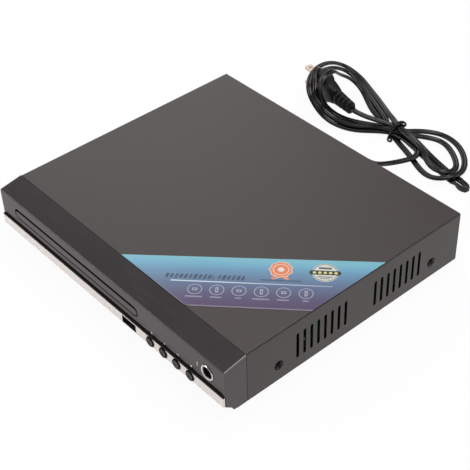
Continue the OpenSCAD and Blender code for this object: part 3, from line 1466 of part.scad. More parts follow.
top_cover();
chassis_pan();
front_bezel();
trim_strip();
window_strip();
label_sheet();
rear_feet();
tray_door();
disc_tray();
loader_frame();
drive_gear();
idler_gear();
pulley_gear();
motor_pulley();
drive_belt();
loading_motor();
cam_slide();
clamp_bridge();
clamp_puck();
clamp_magnet();
traverse_frame();
sled_base();
dampers();
spindle_motor();
turntable();
turntable_pad();
guide_rods();
pickup_body();
pickup_lens();
feed_screw();
feed_motor();
main_board();
main_chips();
av_sockets();
hdmi_socket();
power_board();
power_transformer();
filter_capacitors();
front_board();
tact_switches();
remote_sensor();
usb_socket();
mic_jack();
jack_ring();
button_1();
button_2();
button_3();
button_4();
side_screws();
rear_screws();
board_screws();
loader_screws();
cord_grip();
cord_lead();
cord_hank();
plug_lead();
cord_tie();
plug_body();
plug_blades();
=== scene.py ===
# Compact disc player with a motor-driven tray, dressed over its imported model, in metres
import json
import math

import bpy
import numpy as np
from mathutils import Matrix, Vector

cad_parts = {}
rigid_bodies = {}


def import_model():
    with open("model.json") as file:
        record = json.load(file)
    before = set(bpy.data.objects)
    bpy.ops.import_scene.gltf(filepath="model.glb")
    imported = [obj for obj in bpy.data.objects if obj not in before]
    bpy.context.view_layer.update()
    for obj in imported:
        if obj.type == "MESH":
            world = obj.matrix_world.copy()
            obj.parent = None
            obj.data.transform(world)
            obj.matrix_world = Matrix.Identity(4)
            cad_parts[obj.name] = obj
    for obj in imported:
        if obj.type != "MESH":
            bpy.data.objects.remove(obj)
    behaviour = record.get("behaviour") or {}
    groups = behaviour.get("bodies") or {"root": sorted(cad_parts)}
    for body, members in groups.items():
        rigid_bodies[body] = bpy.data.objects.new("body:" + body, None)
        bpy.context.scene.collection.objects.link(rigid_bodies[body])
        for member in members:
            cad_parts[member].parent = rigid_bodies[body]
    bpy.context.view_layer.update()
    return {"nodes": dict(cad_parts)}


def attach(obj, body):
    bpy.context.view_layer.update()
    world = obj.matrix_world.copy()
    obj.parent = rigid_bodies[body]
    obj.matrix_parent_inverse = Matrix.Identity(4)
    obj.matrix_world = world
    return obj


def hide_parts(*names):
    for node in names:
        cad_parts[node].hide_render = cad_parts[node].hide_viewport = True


for leftover in list(bpy.data.objects):
    bpy.data.objects.remove(leftover)
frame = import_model()
print("frame loaded:", len(frame["nodes"]), "nodes")

mm = 0.001
frontY = -100.85  # the bezel's face lies this far before the origin, in mm


def row(x, y, z):  # from millimetres counted behind the bezel's face
    return Vector((x, y + frontY, z)) * mm


def tone(red, green, blue):  # a screen colour, 0 to 255, as linear light
    def lin(v):
        v /= 255
        return v / 12.92 if v <= 0.04045 else ((v + 0.055) / 1.055) ** 2.4
    return (lin(red), lin(green), lin(blue), 1)


viewpoint = {
    "place": (456.38, -375.81, 508.27),  # mm
    "turn": -0.8755451,
    "dip": 0.7020555,
    "lean": -0.0379172,
    "focal": 1173.685,  # in points of the frame
    "side": 470,  # points across the frame
    "sensor": 36,
    "clip": (0.01, 20),  # in metres
}


def aimCamera(v):
    turn, dip, lean = v["turn"], v["dip"], v["lean"]
    ahead = Vector((math.sin(turn) * math.cos(dip), math.cos(turn) * math.cos(dip), -math.sin(dip)))
    right = Vector((math.cos(turn), -math.sin(turn), 0))
    up = right.cross(ahead)
    x = right * math.cos(lean) + up * math.sin(lean)
    y = up * math.cos(lean) - right * math.sin(lean)
    lens = bpy.data.cameras.new("camera")
    lens.sensor_width = v["sensor"]
    lens.lens = v["focal"] / v["side"] * v["sensor"]
    lens.clip_start, lens.clip_end = v["clip"]
    camera = bpy.data.objects.new("camera", lens)
    facing = Matrix((x, y, -ahead)).transposed().to_4x4()
    camera.matrix_world = Matrix.Translation(Vector(v["place"]) * mm) @ facing
    bpy.context.scene.collection.objects.link(camera)
    bpy.context.scene.camera = camera


aimCamera(viewpoint)
print("camera placed")


class Wire:  # one node's output, used in sums
    def __init__(self, nodes, socket):
        self.nodes = nodes
        self.socket = socket

    def sum(self, kind, *terms):
        return self.nodes.add("Math", {"operation": kind}, dict(enumerate(terms)))

    def __add__(self, other):
        return self.sum("ADD", self, other)

    def __sub__(self, other):
        return self.sum("SUBTRACT", self, other)

    def __rsub__(self, other):
        return self.sum("SUBTRACT", other, self)

    def __mul__(self, other):
        return self.sum("MULTIPLY", self, other)

    def __truediv__(self, other):
        return self.sum("DIVIDE", self, other)

    def __mod__(self, other):
        return self.sum("FLOORED_MODULO", self, other)

    def __pow__(self, other):
        return self.sum("POWER", self, other)

    def __abs__(self):
        return self.sum("ABSOLUTE", self)

    def __gt__(self, other):
        return self.sum("GREATER_THAN", self, other)

    def __lt__(self, other):
        return self.sum("LESS_THAN", self, other)

    def floor(self):
        return self.sum("FLOOR", self)

    def most(self, other):
        return self.sum("MAXIMUM", self, other)

    def output(self, which):  # another output of the same node
        return Wire(self.nodes, self.socket.node.outputs[which])

    def span(self, low, high, start=0.0, end=1.0):  # from low..high to start..end, and no further
        return self.nodes.add("MapRange", {"clamp": True}, {1: low, 2: high, 3: start, 4: end, 0: self})

    __radd__ = __add__
    __rmul__ = __mul__


class Nodes:  # the nodes of one material or world
    def __init__(self, owner):
        owner.use_nodes = True
        self.tree = owner.node_tree
        self.tree.nodes.clear()

    def add(self, kind, settings=None, inputs=None):
        node = self.tree.nodes.new("ShaderNode" + kind)
        for key, value in (settings or {}).items():
            if key == "stops":
                while len(node.color_ramp.elements) < len(value):
                    node.color_ramp.elements.new(0.5)
                for element, (at, colour) in zip(node.color_ramp.elements, value):
                    element.position = at
                    element.color = colour
            else:
                setattr(node, key, value)
        for key, value in (inputs or {}).items():
            self.feed(node.inputs[key], value)
        return Wire(self, node.outputs[0]) if node.outputs else node

    def feed(self, socket, value):
        if isinstance(value, Wire):
            self.tree.links.new(value.socket, socket)
        else:
            socket.default_value = value


class Look(Nodes):  # one finish, with what is the same all over it in fixed
    def __init__(self, name, **fixed):
        self.material = bpy.data.materials.new(name)
        super().__init__(self.material)
        self.shader = self.add("BsdfPrincipled", {}, fixed)
        self.out = self.add("OutputMaterial", {}, {0: self.shader})
        self.place = self.add("TexCoord").output("Object")

    def wear(self, **inputs):  # feeds the shader
        for key, value in inputs.items():
            self.feed(self.shader.socket.node.inputs[key.replace("_", " ")], value)
        return self

    def blend(self, mask, a, b):  # colour a where the mask is 0, b where it is 1
        return self.add("Mix", {"data_type": "RGBA"}, {0: mask, 6: a, 7: b}).output(2)

    def tint(self, colour, light):  # a colour made lighter or darker by a value round 1
        grey = self.add("CombineColor", {}, {0: light, 1: light, 2: light})
        kind = {"data_type": "RGBA", "blend_type": "MULTIPLY"}
        return self.add("Mix", kind, {0: 1.0, 6: colour, 7: grey}).output(2)

    def stretched(self, x, y, z):
        return self.add("Mapping", {}, {"Vector": self.place, "Scale": (x, y, z)})

    def noise(self, size, detail, over=None):  # size of a feature in mm
        where = {"Vector": over or self.place, "Scale": 1 / (size * mm), "Detail": detail}
        return self.add("TexNoise", {}, where)

    def cells(self, size):  # size of a cell in mm
        return self.add("TexVoronoi", {}, {"Vector": self.place, "Scale": 1 / (size * mm)})

    def relief(self, height, depth, strength):  # depth in mm
        return self.add("Bump", {}, {"Height": height, "Distance": depth * mm, "Strength": strength})

    def plan(self):  # x, y behind the bezel's face and z, in mm
        split = self.add("SeparateXYZ", {}, {0: self.place})
        return split * 1000, split.output(1) * 1000 - frontY, split.output(2) * 1000


def distance(a, b):  # from two legs
    return (a * a + b * b) ** 0.5


lead = {
    "width": 4.6,
    "thick": 2.5,
    "coreR": 1.25,
    "coreAt": 1.05,
    "web": 0.12,  # the angle by which each core's round stops short of the other
    "around": 9,  # points on each core
    "step": 2.5,  # between the points of its line
    "backmost": 307,
    "exit": (12.5, 213.2, 17.2),
    "upright": (7, 17),  # the narrow fold stands on its edge this near its end, and lies flat past this
    "waist": (-8, 271),  # the tie's middle
    "waistTurn": -15,
    # where each run passes the tie, across it and up
    "passes": [(-2.4, 4.3), (0.4, 9.6), (-2.3, 7), (-2.4, 1.5), (2.4, 4.3), (2.4, 1.5), (2.4, 7)],
    "runs": [
        # out of the case, down behind it and under the right half
        [(12.5, 213.2, 17.2), (12.5, 216.5, 16.8), (12.6, 219.8, 15.1), (12.8, 222.6, 12.6), (13, 225.6, 10),
         (13.3, 229, 7.8), (14, 233, 6.2), (15.6, 238, 5.2), (17.8, 243.5, 4.7), (20.2, 249.5, 4.6),
         (22.8, 256, 4.6), (23.2, 261.6, 4.6), (19.6, 265.8, 4.6), (11.5, 268.4, 4.6), (2.5, 268.4, 4.5)],
        # outer left loop
        [(-21, 262, 3), (-31.5, 254.5, 1.6), (-41.5, 249.5, 1.8), (-52.5, 247, 3), (-60, 245, 7),
         (-66, 244.5, 12), (-69.5, 244, 17.5), (-74.5, 246.5, 21), (-80.5, 252.5, 22.5), (-87, 261, 22),
         (-94, 272.5, 19.5), (-98, 284, 16.5), (-99.5, 294, 13), (-98.5, 301.5, 9.5), (-93, 307, 6),
         (-82, 307.5, 3.4), (-67, 302, 2.2), (-47.5, 293, 2.5), (-28.5, 283.5, 5), (-16, 276.5, 8.4)],
        # inner right loop
        [(3, 269, 9), (9, 268.5, 8), (16.5, 268, 6), (25, 264, 4.6), (34, 258.6, 4.6), (41, 256, 5),
         (47.5, 256, 5.4), (52, 259.5, 5.2), (52.2, 266, 4.2), (48.5, 272.5, 2.6), (43, 278, 2),
         (36, 283, 1.8), (27, 287.5, 1.8), (18.5, 289, 1.8), (11, 284.5, 2.4), (5.5, 277, 5)],
        # middle left loop
        [(-23, 264.5, 5), (-32, 257, 4), (-42, 252, 4), (-52.5, 249.5, 4.4), (-61.5, 249, 7),
         (-66.5, 247.5, 12), (-69.5, 247, 18), (-73.5, 249.5, 22), (-79, 256.5, 22.5), (-85, 266, 21),
         (-90.5, 278, 17.5), (-92.5, 288, 14), (-92, 296, 10.5), (-87, 301, 7), (-77.5, 301, 4.2),
         (-64.5, 297, 2.8), (-48, 289.5, 2.6), (-30, 281, 3), (-17, 273.5, 2)],
        # outer right loop
        [(1, 264.5, 1.6), (10, 261.5, 1.6), (21, 257, 1.6), (31, 252.5, 1.6), (39.5, 250, 1.8),
         (47.5, 250, 2.8), (53.5, 254, 4.6), (57.5, 261, 5.4), (55.5, 270.5, 3), (49.5, 280.5, 2),
         (42, 287.5, 2), (32, 293.5, 2), (22.5, 295.5, 2), (13.5, 295, 2), (6.5, 291, 2), (1.5, 285.5, 3),
         (-2, 279, 4)],
        # inner left loop, over the plug's upper edge
        [(-17, 272, 3.5), (-28.5, 267.5, 2), (-39, 262, 1.8), (-49, 258, 1.8), (-58, 256, 3),
         (-63.5, 253.5, 7), (-66.5, 250, 13), (-69.5, 249.5, 19), (-71.5, 251.5, 24), (-72.5, 256, 27.3),
         (-73, 261.5, 27.6), (-74.5, 269, 26), (-76.5, 277.5, 20), (-76.5, 286.5, 14.5), (-72.5, 292.5, 9),
         (-64, 292.5, 5), (-52, 287.5, 3), (-39.5, 280, 2), (-27.5, 277.5, 1.7), (-17, 275, 1.6)],
        # narrow fold at the right, under both loops
        [(3, 270.6, 1.5), (15, 268, 1.5), (27, 264.8, 1.5), (38, 262, 1.5), (48, 259.6, 1.6),
         (57, 257.4, 2.2), (63, 255.8, 2.4), (68, 254.5, 2.4), (72.2, 254.6, 2.4), (74.2, 257.7, 2.4),
         (72.2, 260.9, 2.4), (67.4, 261.4, 2.4), (60, 261.7, 2.2), (50, 263.8, 1.6), (40, 266.2, 1.5),
         (28.2, 268.8, 1.7), (14, 271.4, 4), (2, 272.5, 6.6)],
        # tail to the plug
        [(-18, 270, 7.8), (-25.5, 265.5, 9.4), (-32, 261.5, 11), (-37, 259.6, 12.4), (-40, 259, 13),
         (-43.5, 259.7, 13)],
    ],
}
laying = {  # how the runs settle on and beside each other
    "rounds": 260,
    "calm": 235,  # the runs push less after this round
    "push": 0.9,
    "calmPush": 0.3,
    "pull": 0.035,  # back to the route
    "tiedPull": 0.3,  # the same inside the tie
    "tied": 5,  # half the length that the tie holds
    "stiff": 0.25,
    "straighten": 0.03,
    "gap": (0.1, 0.1, 0.15),  # between two runs that touch
    "neighbours": 8,  # points within this many of each other don't push
    "fixed": (7, 5),  # points that stay at the case and at the plug
    "under": 0.1,  # between the lead and the table
    "eased": 6,  # rounds of smoothing once the runs lie
}
plug = {
    "place": (-84.5, 267, 13),
    "turn": 170,
    "halfWide": 12.8,  # upright, because the plug stands on its edge
    "halfThick": 6.75,
    "head": (-17, 1.5),  # the lead's runs stay off the moulding from here to here
    "clear": (1.7, 1.5),  # beside it and over it
    "around": 40,
    "rings": 4,  # on the sleeve behind the neck
    "ringsFrom": 24.4,
    "ringPitch": 4.5,
    "ringHalf": (5.9, 4.7),
    "ringTaper": 0.25,  # each ring is smaller than the last by this
}


def pointing(degrees):  # a level direction, from +X
    a = math.radians(degrees)
    return np.array([math.cos(a), math.sin(a), 0])


def evenLine(points, step, between=12):  # a smooth curve through the points, evenly spaced
    p = np.array([points[0], *points, points[-1]], float)
    fine = []
    for a, b, c, d in zip(p, p[1:], p[2:], p[3:]):
        for t in np.linspace(0, 1, between, endpoint=False):
            fine.append(0.5 * (2 * b + (c - a) * t + (2 * a - 5 * b + 4 * c - d) * t * t
                               + (3 * b - a - 3 * c + d) * t ** 3))
    fine = np.array([*fine, p[-1]])
    way = np.concatenate([[0], np.cumsum(np.linalg.norm(np.diff(fine, axis=0), axis=1))])
    at = np.linspace(0, way[-1], max(3, round(way[-1] / step)))
    return np.stack([np.interp(at, way, fine[:, k]) for k in range(3)], axis=1)


def settle(points, s, h):  # lets the runs lie on and beside each other
    home = points.copy()
    index = np.arange(len(points))
    apart = np.abs(index[:, None] - index[None, :]) > h["neighbours"]
    reach = np.array([s["width"], s["width"], s["thick"]]) + np.array(h["gap"])
    ahead, aside = pointing(plug["turn"]), pointing(plug["turn"] + 90)
    tied = np.abs((points - np.array([*s["waist"], 0])) @ pointing(s["waistTurn"])) < h["tied"]
    pull = np.where(tied, h["tiedPull"], h["pull"])[:, None]
    free = (index >= h["fixed"][0]) & (index < len(points) - h["fixed"][1])
    for turn in range(h["rounds"]):
        gap = (points[:, None] - points[None, :]) / reach
        near = np.sqrt((gap ** 2).sum(2)) + 1e-6
        touch = (near < 1) & apart
        push = gap / near[..., None] * reach * np.where(touch, 0.5 * (1 - near), 0)[..., None]
        count = np.maximum(touch.sum(1), 1)[:, None]
        move = push.sum(1) / np.sqrt(count) * h["push"]
        if turn > h["calm"]:
            move *= h["calmPush"]
        bend = np.zeros_like(points)
        bend[1:-1] = (points[:-2] + points[2:]) / 2 - points[1:-1]
        stiff = np.zeros_like(points)
        stiff[1:-1] = bend[1:-1] - (bend[:-2] + bend[2:]) / 2
        move += h["stiff"] * stiff + h["straighten"] * bend + pull * (home - points)
        points = points + move * free[:, None]
        # stay clear of the plug's head
        off = points - np.array(plug["place"])
        x, y, z = off @ ahead, off @ aside, off[:, 2]
        dy = plug["halfThick"] + plug["clear"][0] - np.abs(y)
        dz = plug["halfWide"] + plug["clear"][1] - z
        head = (x > plug["head"][0]) & (x < plug["head"][1]) & (dy > 0) & (dz > 0) & free
        side, top = head & (dy < dz), head & (dy >= dz)
        points[side] += (np.sign(y) * dy)[side, None] * aside
        points[top, 2] += dz[top]
        points[:, 2] = np.maximum(points[:, 2], s["thick"] / 2 + h["under"])
        points[:, 1] = np.minimum(points[:, 1], s["backmost"])
    return points


def makeMesh(name, points, faces, look, smooth=True):
    mesh = bpy.data.meshes.new(name)
    mesh.from_pydata([tuple(float(v) for v in p) for p in points], [], faces)
    mesh.update()
    mesh.materials.append(look.material)
    if smooth:
        mesh.shade_smooth()
    piece = bpy.data.objects.new(name, mesh)
    bpy.context.scene.collection.objects.link(piece)
    return piece


def sweep(name, tubes, look):  # a skin over each row of closed rings, shut at both ends
    points, faces = [], []
    for rings in tubes:
        first, around = len(points), len(rings[0])
        points += [p for ring in rings for p in ring]
        grid = [range(first + i * around, first + (i + 1) * around) for i in range(len(rings))]
        for low, high in zip(grid, grid[1:]):
            faces += [(low[k], low[k + 1 - around], high[k + 1 - around], high[k]) for k in range(around)]
        faces += [tuple(reversed(grid[0])), tuple(grid[-1])]
    return makeMesh(name, points, faces, look)


def wayFrames(line, levelling=0.25):  # flat side and up at each point, carried along and drawn to level
    ahead = np.gradient(line, axis=0)
    ahead /= np.linalg.norm(ahead, axis=1)[:, None]
    level = np.cross(ahead, [0, 0, 1])
    side = [level[0] / np.linalg.norm(level[0])]
    for a, flat in zip(ahead[1:], level[1:]):
        last = side[-1] - a * (side[-1] @ a)
        last = last + levelling * flat * math.copysign(1, flat @ last)
        side.append(last / np.linalg.norm(last))
    side = np.array(side)
    return side, np.cross(side, ahead)


def twinSection(s):  # outline of two round cores side by side
    stop = math.acos(-s["coreAt"] / s["coreR"]) - s["web"]
    right = [(s["coreAt"] + s["coreR"] * math.cos(a), s["coreR"] * math.sin(a))
             for a in np.linspace(-stop, stop, s["around"])]
    return right + [(-x, -y) for x, y in right]


def vinylLook(name, base, rough, scuff, shine=0.38):
    look = Look(name, **{"Specular IOR Level": shine})
    smear = look.noise(9, 3)
    grain = look.noise(0.6, 2)
    dust = look.noise(2.2, 4).span(0.62, 0.75)
    colour = look.blend(smear, tone(*base), tone(*[v + 6 for v in base]))
    colour = look.blend(dust * scuff, colour, tone(92, 86, 80))
    return look.wear(Base_Color=colour, Roughness=smear * 0.07 + rough, Normal=look.relief(grain, 0.012, 0.3))


leadLook = vinylLook("leadVinyl", (18, 15, 14), 0.21, 0.03)
plugLook = vinylLook("plugVinyl", (14, 14, 16), 0.42, 0.05, 0.22)
tieLook = vinylLook("tieCoating", (20, 20, 21), 0.34, 0.05)


def makeLead(s, h):
    route = list(s["runs"][0])
    for (across, rise), run in zip(s["passes"], s["runs"][1:]):
        route.append(across * pointing(s["waistTurn"] + 90) + np.array([*s["waist"], rise]))
        route.extend(run)
    line = evenLine(settle(evenLine(route, s["step"]), s, h), s["step"])
    for turn in range(h["eased"]):
        line[4:-3] += 0.5 * ((line[3:-4] + line[5:-2]) / 2 - line[4:-3])
    line = evenLine(line, s["step"])
    # the narrow fold's end is the point furthest to the right
    away = np.abs(np.arange(len(line)) - line[:, 0].argmax()) * s["step"]
    near, far = s["upright"]
    roll = math.pi / 2 * (0.5 + 0.5 * np.cos(math.pi * np.clip((away - near) / (far - near), 0, 1)))
    c, n = np.cos(roll)[:, None], np.sin(roll)[:, None]
    lowest = (n * s["width"] / 2 + c * s["thick"] / 2)[:, 0] + h["under"]
    line[:, 2] = np.maximum(line[:, 2], lowest)
    side, up = wayFrames(line)
    side, up = side * c + up * n, up * c - side * n
    section = twinSection(s)
    rings = [[row(*(p + a * x + b * y)) for x, y in section] for p, a, b in zip(line, side, up)]
    piece = sweep("mainsCord", [rings], leadLook)
    length = float(np.linalg.norm(np.diff(line, axis=0), axis=1).sum()) * mm
    return piece, [row(*p) for p in line], length


cordPiece, cordWay, cordLength = makeLead(lead, laying)
print("lead laid:", round(cordLength, 3), "m")


def makePlug(s):
    turn = Matrix.Rotation(math.radians(s["turn"]), 3, "Z")

    def ring(x, wide, thick, power):  # a soft-cornered ring across the plug
        out = []
        for t in np.linspace(0, 2 * math.pi, s["around"], endpoint=False):
            c, n = math.cos(t), math.sin(t)
            y = thick * math.copysign(abs(c) ** power, c)
            z = wide * math.copysign(abs(n) ** power, n)
            out.append(row(*(turn @ Vector((x, y, z)) + Vector(s["place"]))))
        return out

    w, t = s["halfWide"], s["halfThick"]
    # how far back, half width, half thickness and how square: the head, its step and its neck
    stations = [
        (-0.1, w * 0.6, t * 0.5, 0.5), (-0.1, w - 1.2, t - 1.2, 0.42), (-0.5, w - 0.4, t - 0.4, 0.4),
        (-1.3, w - 0.05, t - 0.05, 0.38), (-5, w - 0.05, t - 0.4, 0.38), (-8, w - 0.1, t - 0.8, 0.4),
        (-10.2, w - 0.6, t - 1, 0.44), (-11.2, w - 1.5, t - 1, 0.46), (-11.6, w - 3, t - 1, 0.5),
        (-12.4, w - 4, t - 0.9, 0.52), (-14.5, w - 4.6, t - 0.8, 0.56), (-17.5, w - 5.6, t - 0.8, 0.62),
        (-20, w - 6.2, t - 1.2, 0.7), (-22.4, 6.3, 5, 0.8), (-23.4, 5.7, 4.5, 0.9), (-23.9, 4.4, 3.5, 1),
    ]
    for i in range(s["rings"]):
        x = -s["ringPitch"] * i - s["ringsFrom"]
        w, t = (half - s["ringTaper"] * i for half in s["ringHalf"])
        stations += [(x, 4.2, 3.1, 1), (x - 0.05, w - 0.35, t - 0.35, 0.9), (x - 0.4, w, t, 0.9),
                     (x - 2.9, w - 0.1, t - 0.1, 0.9), (x - 3.3, w - 0.5, t - 0.5, 0.9),
                     (x - 3.35, 4.2, 3.1, 1)]
    stations += [(-42.4, 2.9, 2.9, 1), (-42.6, 2.5, 2.5, 1)]
    return sweep("plugMoulding", [[ring(*station) for station in stations]], plugLook)


plugPiece = makePlug(plug)

tie = {
    "wire": 0.82,
    "around": 8,
    "step": 0.6,
    "pitch": 1.6,  # from one lap to the next
    "start": -1.4,
    # outline round the bundle, across it and up
    "outline": [(-5.4, 4.5), (-5.3, 1.5), (-3.5, 0.6), (0, 0.6), (3.5, 0.6), (5.3, 1.5), (5.4, 4.5),
                (5.2, 7.5), (3.4, 10.2), (0.8, 11.7), (-1.6, 11.4), (-4.4, 9.2), (-5.4, 7)],
    # the twisted ends, one small eye above the bundle and one beside it
    "eyes": [[(-0.2, 0.6, 12), (0.2, 2.6, 12.6), (1, 4.6, 12.3), (2.4, 5.6, 11.4), (3.8, 5, 10.8),
              (3.8, 3.6, 11), (2.6, 2.9, 11.6), (1.4, 3.2, 12.2)],
             [(0.2, -5.6, 4), (0.4, -6.8, 2.6), (1.2, -8, 1.5), (2.6, -8.6, 1.1), (3.9, -7.8, 0.9),
              (3.8, -6.6, 1), (2.6, -6, 1.4), (1.2, -6.4, 1.8)]],
}


def makeTie(s):
    centre = Vector((*lead["waist"], 0))
    turn = Matrix.Rotation(math.radians(lead["waistTurn"]), 3, "Z")
    lap = [(s["pitch"] * k / len(s["outline"]) + s["start"], y, z) for k, (y, z) in enumerate(s["outline"])]
    lap += [(x + s["pitch"], y, z) for x, y, z in lap]
    turns = np.linspace(0, 2 * math.pi, s["around"], endpoint=False)
    tubes = []
    for path in (lap, *s["eyes"]):
        line = evenLine([turn @ Vector(p) + centre for p in path], s["step"])
        line[:, 2] = np.maximum(line[:, 2], s["wire"] + 0.02)
        tubes.append([[row(*(p + s["wire"] * (a * math.cos(t) + b * math.sin(t)))) for t in turns]
                      for p, a, b in zip(line, *wayFrames(line))])
    return sweep("wireTie", tubes, tieLook)


tiePiece = makeTie(tie)
for piece, nodes in ((cordPiece, ("cord_lead", "cord_hank", "plug_lead")), (plugPiece, ("plug_body",)),
                     (tiePiece, ("cord_tie",))):
    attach(piece, "case")
    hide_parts(*nodes)
row(*lead["exit"])
print("plug and tie made")

cover = {
    "paint": (52, 45, 45),
    "worn": (104, 98, 94),
    # painted shade for the vent slots' walls and the inner faces, also drawn as a darker line along each side
    # bend
    "inside": (10, 9, 9),
    "rough": 0.42,
    "half": 112.5,
    "back": 196.5,
    "top": 40,
}


def coverLook(s):
    look = Look("coverPaint", **{"Specular Tint": (1, 0.95, 0.94, 1)})
    x, y, z = look.plan()
    cloud = look.noise(60, 3)
    grain = look.noise(0.55, 3)
    speck = look.noise(0.28, 1)
    # worn in spots along the top's side bends and the back edge
    rim = (abs(x) - s["half"]).span(-1.3, -0.25) * (z - s["top"]).span(-1.7, -0.3)
    rim = rim.most((y - s["back"]).span(-0.9, 0) * z.span(10, s["top"], 0.3, 1.0))
    rim = rim * look.noise(3.5, 4).span(0.5, 0.72)
    # the vent slots' walls and the side walls' inner faces get painted shade; the middle of each side bend is
    # painted darker and duller
    inside = (abs(x) < s["half"] - 0.1) * (z < s["top"] - 1.5) * (y > 20)
    bend = (abs(x) - s["half"]).span(-0.75, -0.45) * (z - s["top"]).span(-0.7, -0.35)
    colour = look.blend(cloud, tone(*s["paint"]), tone(*[v + 4 for v in s["paint"]]))
    colour = look.tint(colour, grain * 0.22 + 0.89)
    colour = look.blend(rim * 0.35, colour, tone(*s["worn"]))
    colour = look.blend((bend * 0.8).most(inside), colour, tone(*s["inside"]))
    rough = cloud * 0.08 + grain * 0.12 + s["rough"] - 0.1 + bend * 0.3
    return look.wear(Base_Color=colour, Roughness=rough, Normal=look.relief(grain + speck * 0.5, 0.03, 0.55))


bezel = {
    "plastic": (34, 30, 31),
    "front": (44, 25, 28),  # the face is a little warmer than the sloping top
    # the rub marks' colour, also used for the painted highlight at the ends
    "worn": (120, 114, 110),
    "dark": (7, 6, 6),
    "bright": (168, 160, 156),
    "rough": 0.32,
    "half": 112.5,
    "groove": (17.6, 19.5),  # low and high edge of the groove over the strip
    "grooveHalf": 110.35,
    "brow": 37.1,  # the face's upper edge
    "slope": 0.1747,  # rise of the top for each mm back
    "slotX": -31.55,
    "slotW": 131.3,
    "slotZ": 26.9,
    "slotR": 3.9,
    "lip": 0.7,  # half width of the painted shade line under the door
}


def bezelLook(s):
    look = Look("bezelPlastic", **{"Specular Tint": (1, 0.96, 0.98, 1)})
    x, y, z = look.plan()
    cloud = look.noise(34, 3)
    spark = look.noise(0.35, 2)
    rub = look.noise(5, 5, look.stretched(0.25, 1, 1)).span(0.58, 0.72)
    litEnds = (abs(x) - s["half"]).span(-1.1, 0)
    colour = look.blend(cloud, tone(*s["plastic"]), tone(*[v + 5 for v in s["plastic"]]))
    under = z - y * s["slope"] - s["brow"]  # 0 on the sloping top, and negative under it
    face = (y < 2) * (under < -0.1) * (abs(x) < s["half"] - 0.2)
    colour = look.blend(face, colour, tone(*s["front"]))
    # rub marks are scuffs; the ends by the side faces get a painted highlight in the same colour
    colour = look.blend(rub * 0.05 + litEnds * 0.12, colour, tone(*s["worn"]))
    # the groove and the slot's walls get painted shade, dark and dull
    groove = (z > s["groove"][0]) * (z < s["groove"][1]) * (y > 0.04) * (abs(x) < s["grooveHalf"])
    slot = (abs(x - s["slotX"]) < s["slotW"] / 2 + 0.1) * (abs(z - s["slotZ"]) < s["slotR"] + 0.2)
    slot = slot * (y > 0.04) * (y < 3.5)
    # and so does the rim under the tray's door, as a painted shade line
    half = s["slotW"] / 2 - s["slotR"]
    away = distance((abs(x - s["slotX"]) - half).most(0), z - s["slotZ"])
    lip = (abs(away - s["slotR"] + s["lip"] / 2) < s["lip"]) * (z < s["slotZ"] - 0.5) * (y < 2)
    shadeMask = groove.most(slot).most(lip * 0.75)
    colour = look.blend(shadeMask, colour, tone(*s["dark"]))
    # the ends of the sloping top catch the light
    bright = (under > -0.55) * (abs(x) > s["half"] - 0.45) * (y > 0.5)
    colour = look.blend(bright * (spark * 0.3 + 0.55), colour, tone(*s["bright"]))
    rough = cloud * 0.08 + spark * 0.08 + s["rough"] - 0.06 + shadeMask * 0.4
    return look.wear(Base_Color=colour, Roughness=rough, Normal=look.relief(spark, 0.02, 0.35))


trim = {
    "metal": (234, 226, 223),
    "stain": (120, 112, 104),
    "black": (8, 7, 7),
    "top": 17.1,  # the strip is painted black from here up, as shade
    "memory": (25.6, 13.45),  # the memory slot's middle
    "memoryHalf": (6.8, 2.9),  # half the black round it
}


def trimLook(s):
    look = Look("satinTrim")
    x, y, z = look.plan()
    # the upper edge and the inner walls are painted black as shade; the rim of the memory slot is black too
    rim = (abs(x - s["memory"][0]) < s["memoryHalf"][0]) * (abs(z - s["memory"][1]) < s["memoryHalf"][1])
    black = (z > s["top"]).most(y > 0.02).most(rim)
    streak = look.noise(0.25, 3, look.stretched(0.02, 1, 1))
    cloud = look.noise(18, 2)
    spot = look.noise(2.4, 4).span(0.63, 0.72)
    colour = look.tint(tone(*s["metal"]), streak * 0.1 + 0.95)
    colour = look.blend(spot * 0.1, colour, tone(*s["stain"]))
    colour = look.blend(black, colour, tone(*s["black"]))
    rough = streak * 0.1 + cloud * 0.06 + 0.26 + black * 0.4
    return look.wear(Base_Color=colour, Metallic=(1 - black) * 0.3, Roughness=rough,
                     Normal=look.relief(streak, 0.01, 0.3))


window = {"dark": (12, 9, 8), "light": (19, 14, 12), "rough": 0.16}


def windowLook(s):
    look = Look("smokedWindow", **{"Specular IOR Level": 0.2})
    cloud = look.noise(25, 2)
    hair = look.noise(0.3, 3, look.stretched(0.05, 1, 1)).span(0.62, 0.7)
    colour = look.blend(cloud, tone(*s["dark"]), tone(*s["light"]))
    return look.wear(Base_Color=colour, Roughness=hair * 0.12 + cloud * 0.04 + s["rough"])


def mouldedLook(name, base, rough, grainSize=0.5, depth=0.02, spread=6):
    look = Look(name)
    cloud = look.noise(14, 3)
    grain = look.noise(grainSize, 2)
    flow = look.noise(4, 4, look.stretched(1, 0.3, 1)).span(0.55, 0.75)
    colour = look.blend(cloud, tone(*base), tone(*[min(255, v + spread) for v in base]))
    colour = look.tint(colour, flow * 0.08 + 0.96)
    return look.wear(Base_Color=colour, Roughness=cloud * 0.1 + grain * 0.08 + rough - 0.08,
                     Normal=look.relief(grain, depth, 0.5))


def metalLook(name, base, rough, stretch=(1, 1, 1)):
    look = Look(name, Metallic=1.0)
    streak = look.noise(0.3, 3, look.stretched(*stretch))
    cloud = look.noise(11, 3)
    stain = look.noise(2.6, 4).span(0.6, 0.74)
    colour = look.tint(tone(*base), streak * 0.14 + cloud * 0.08 + 0.9)
    colour = look.blend(stain * 0.22, colour, tone(*[v * 0.62 for v in base]))
    return look.wear(Base_Color=colour, Roughness=streak * 0.14 + stain * 0.1 + rough - 0.06,
                     Normal=look.relief(streak, 0.012, 0.4))


zinc = {"metal": (176, 178, 180), "crystal": 6.5, "rough": 0.26}


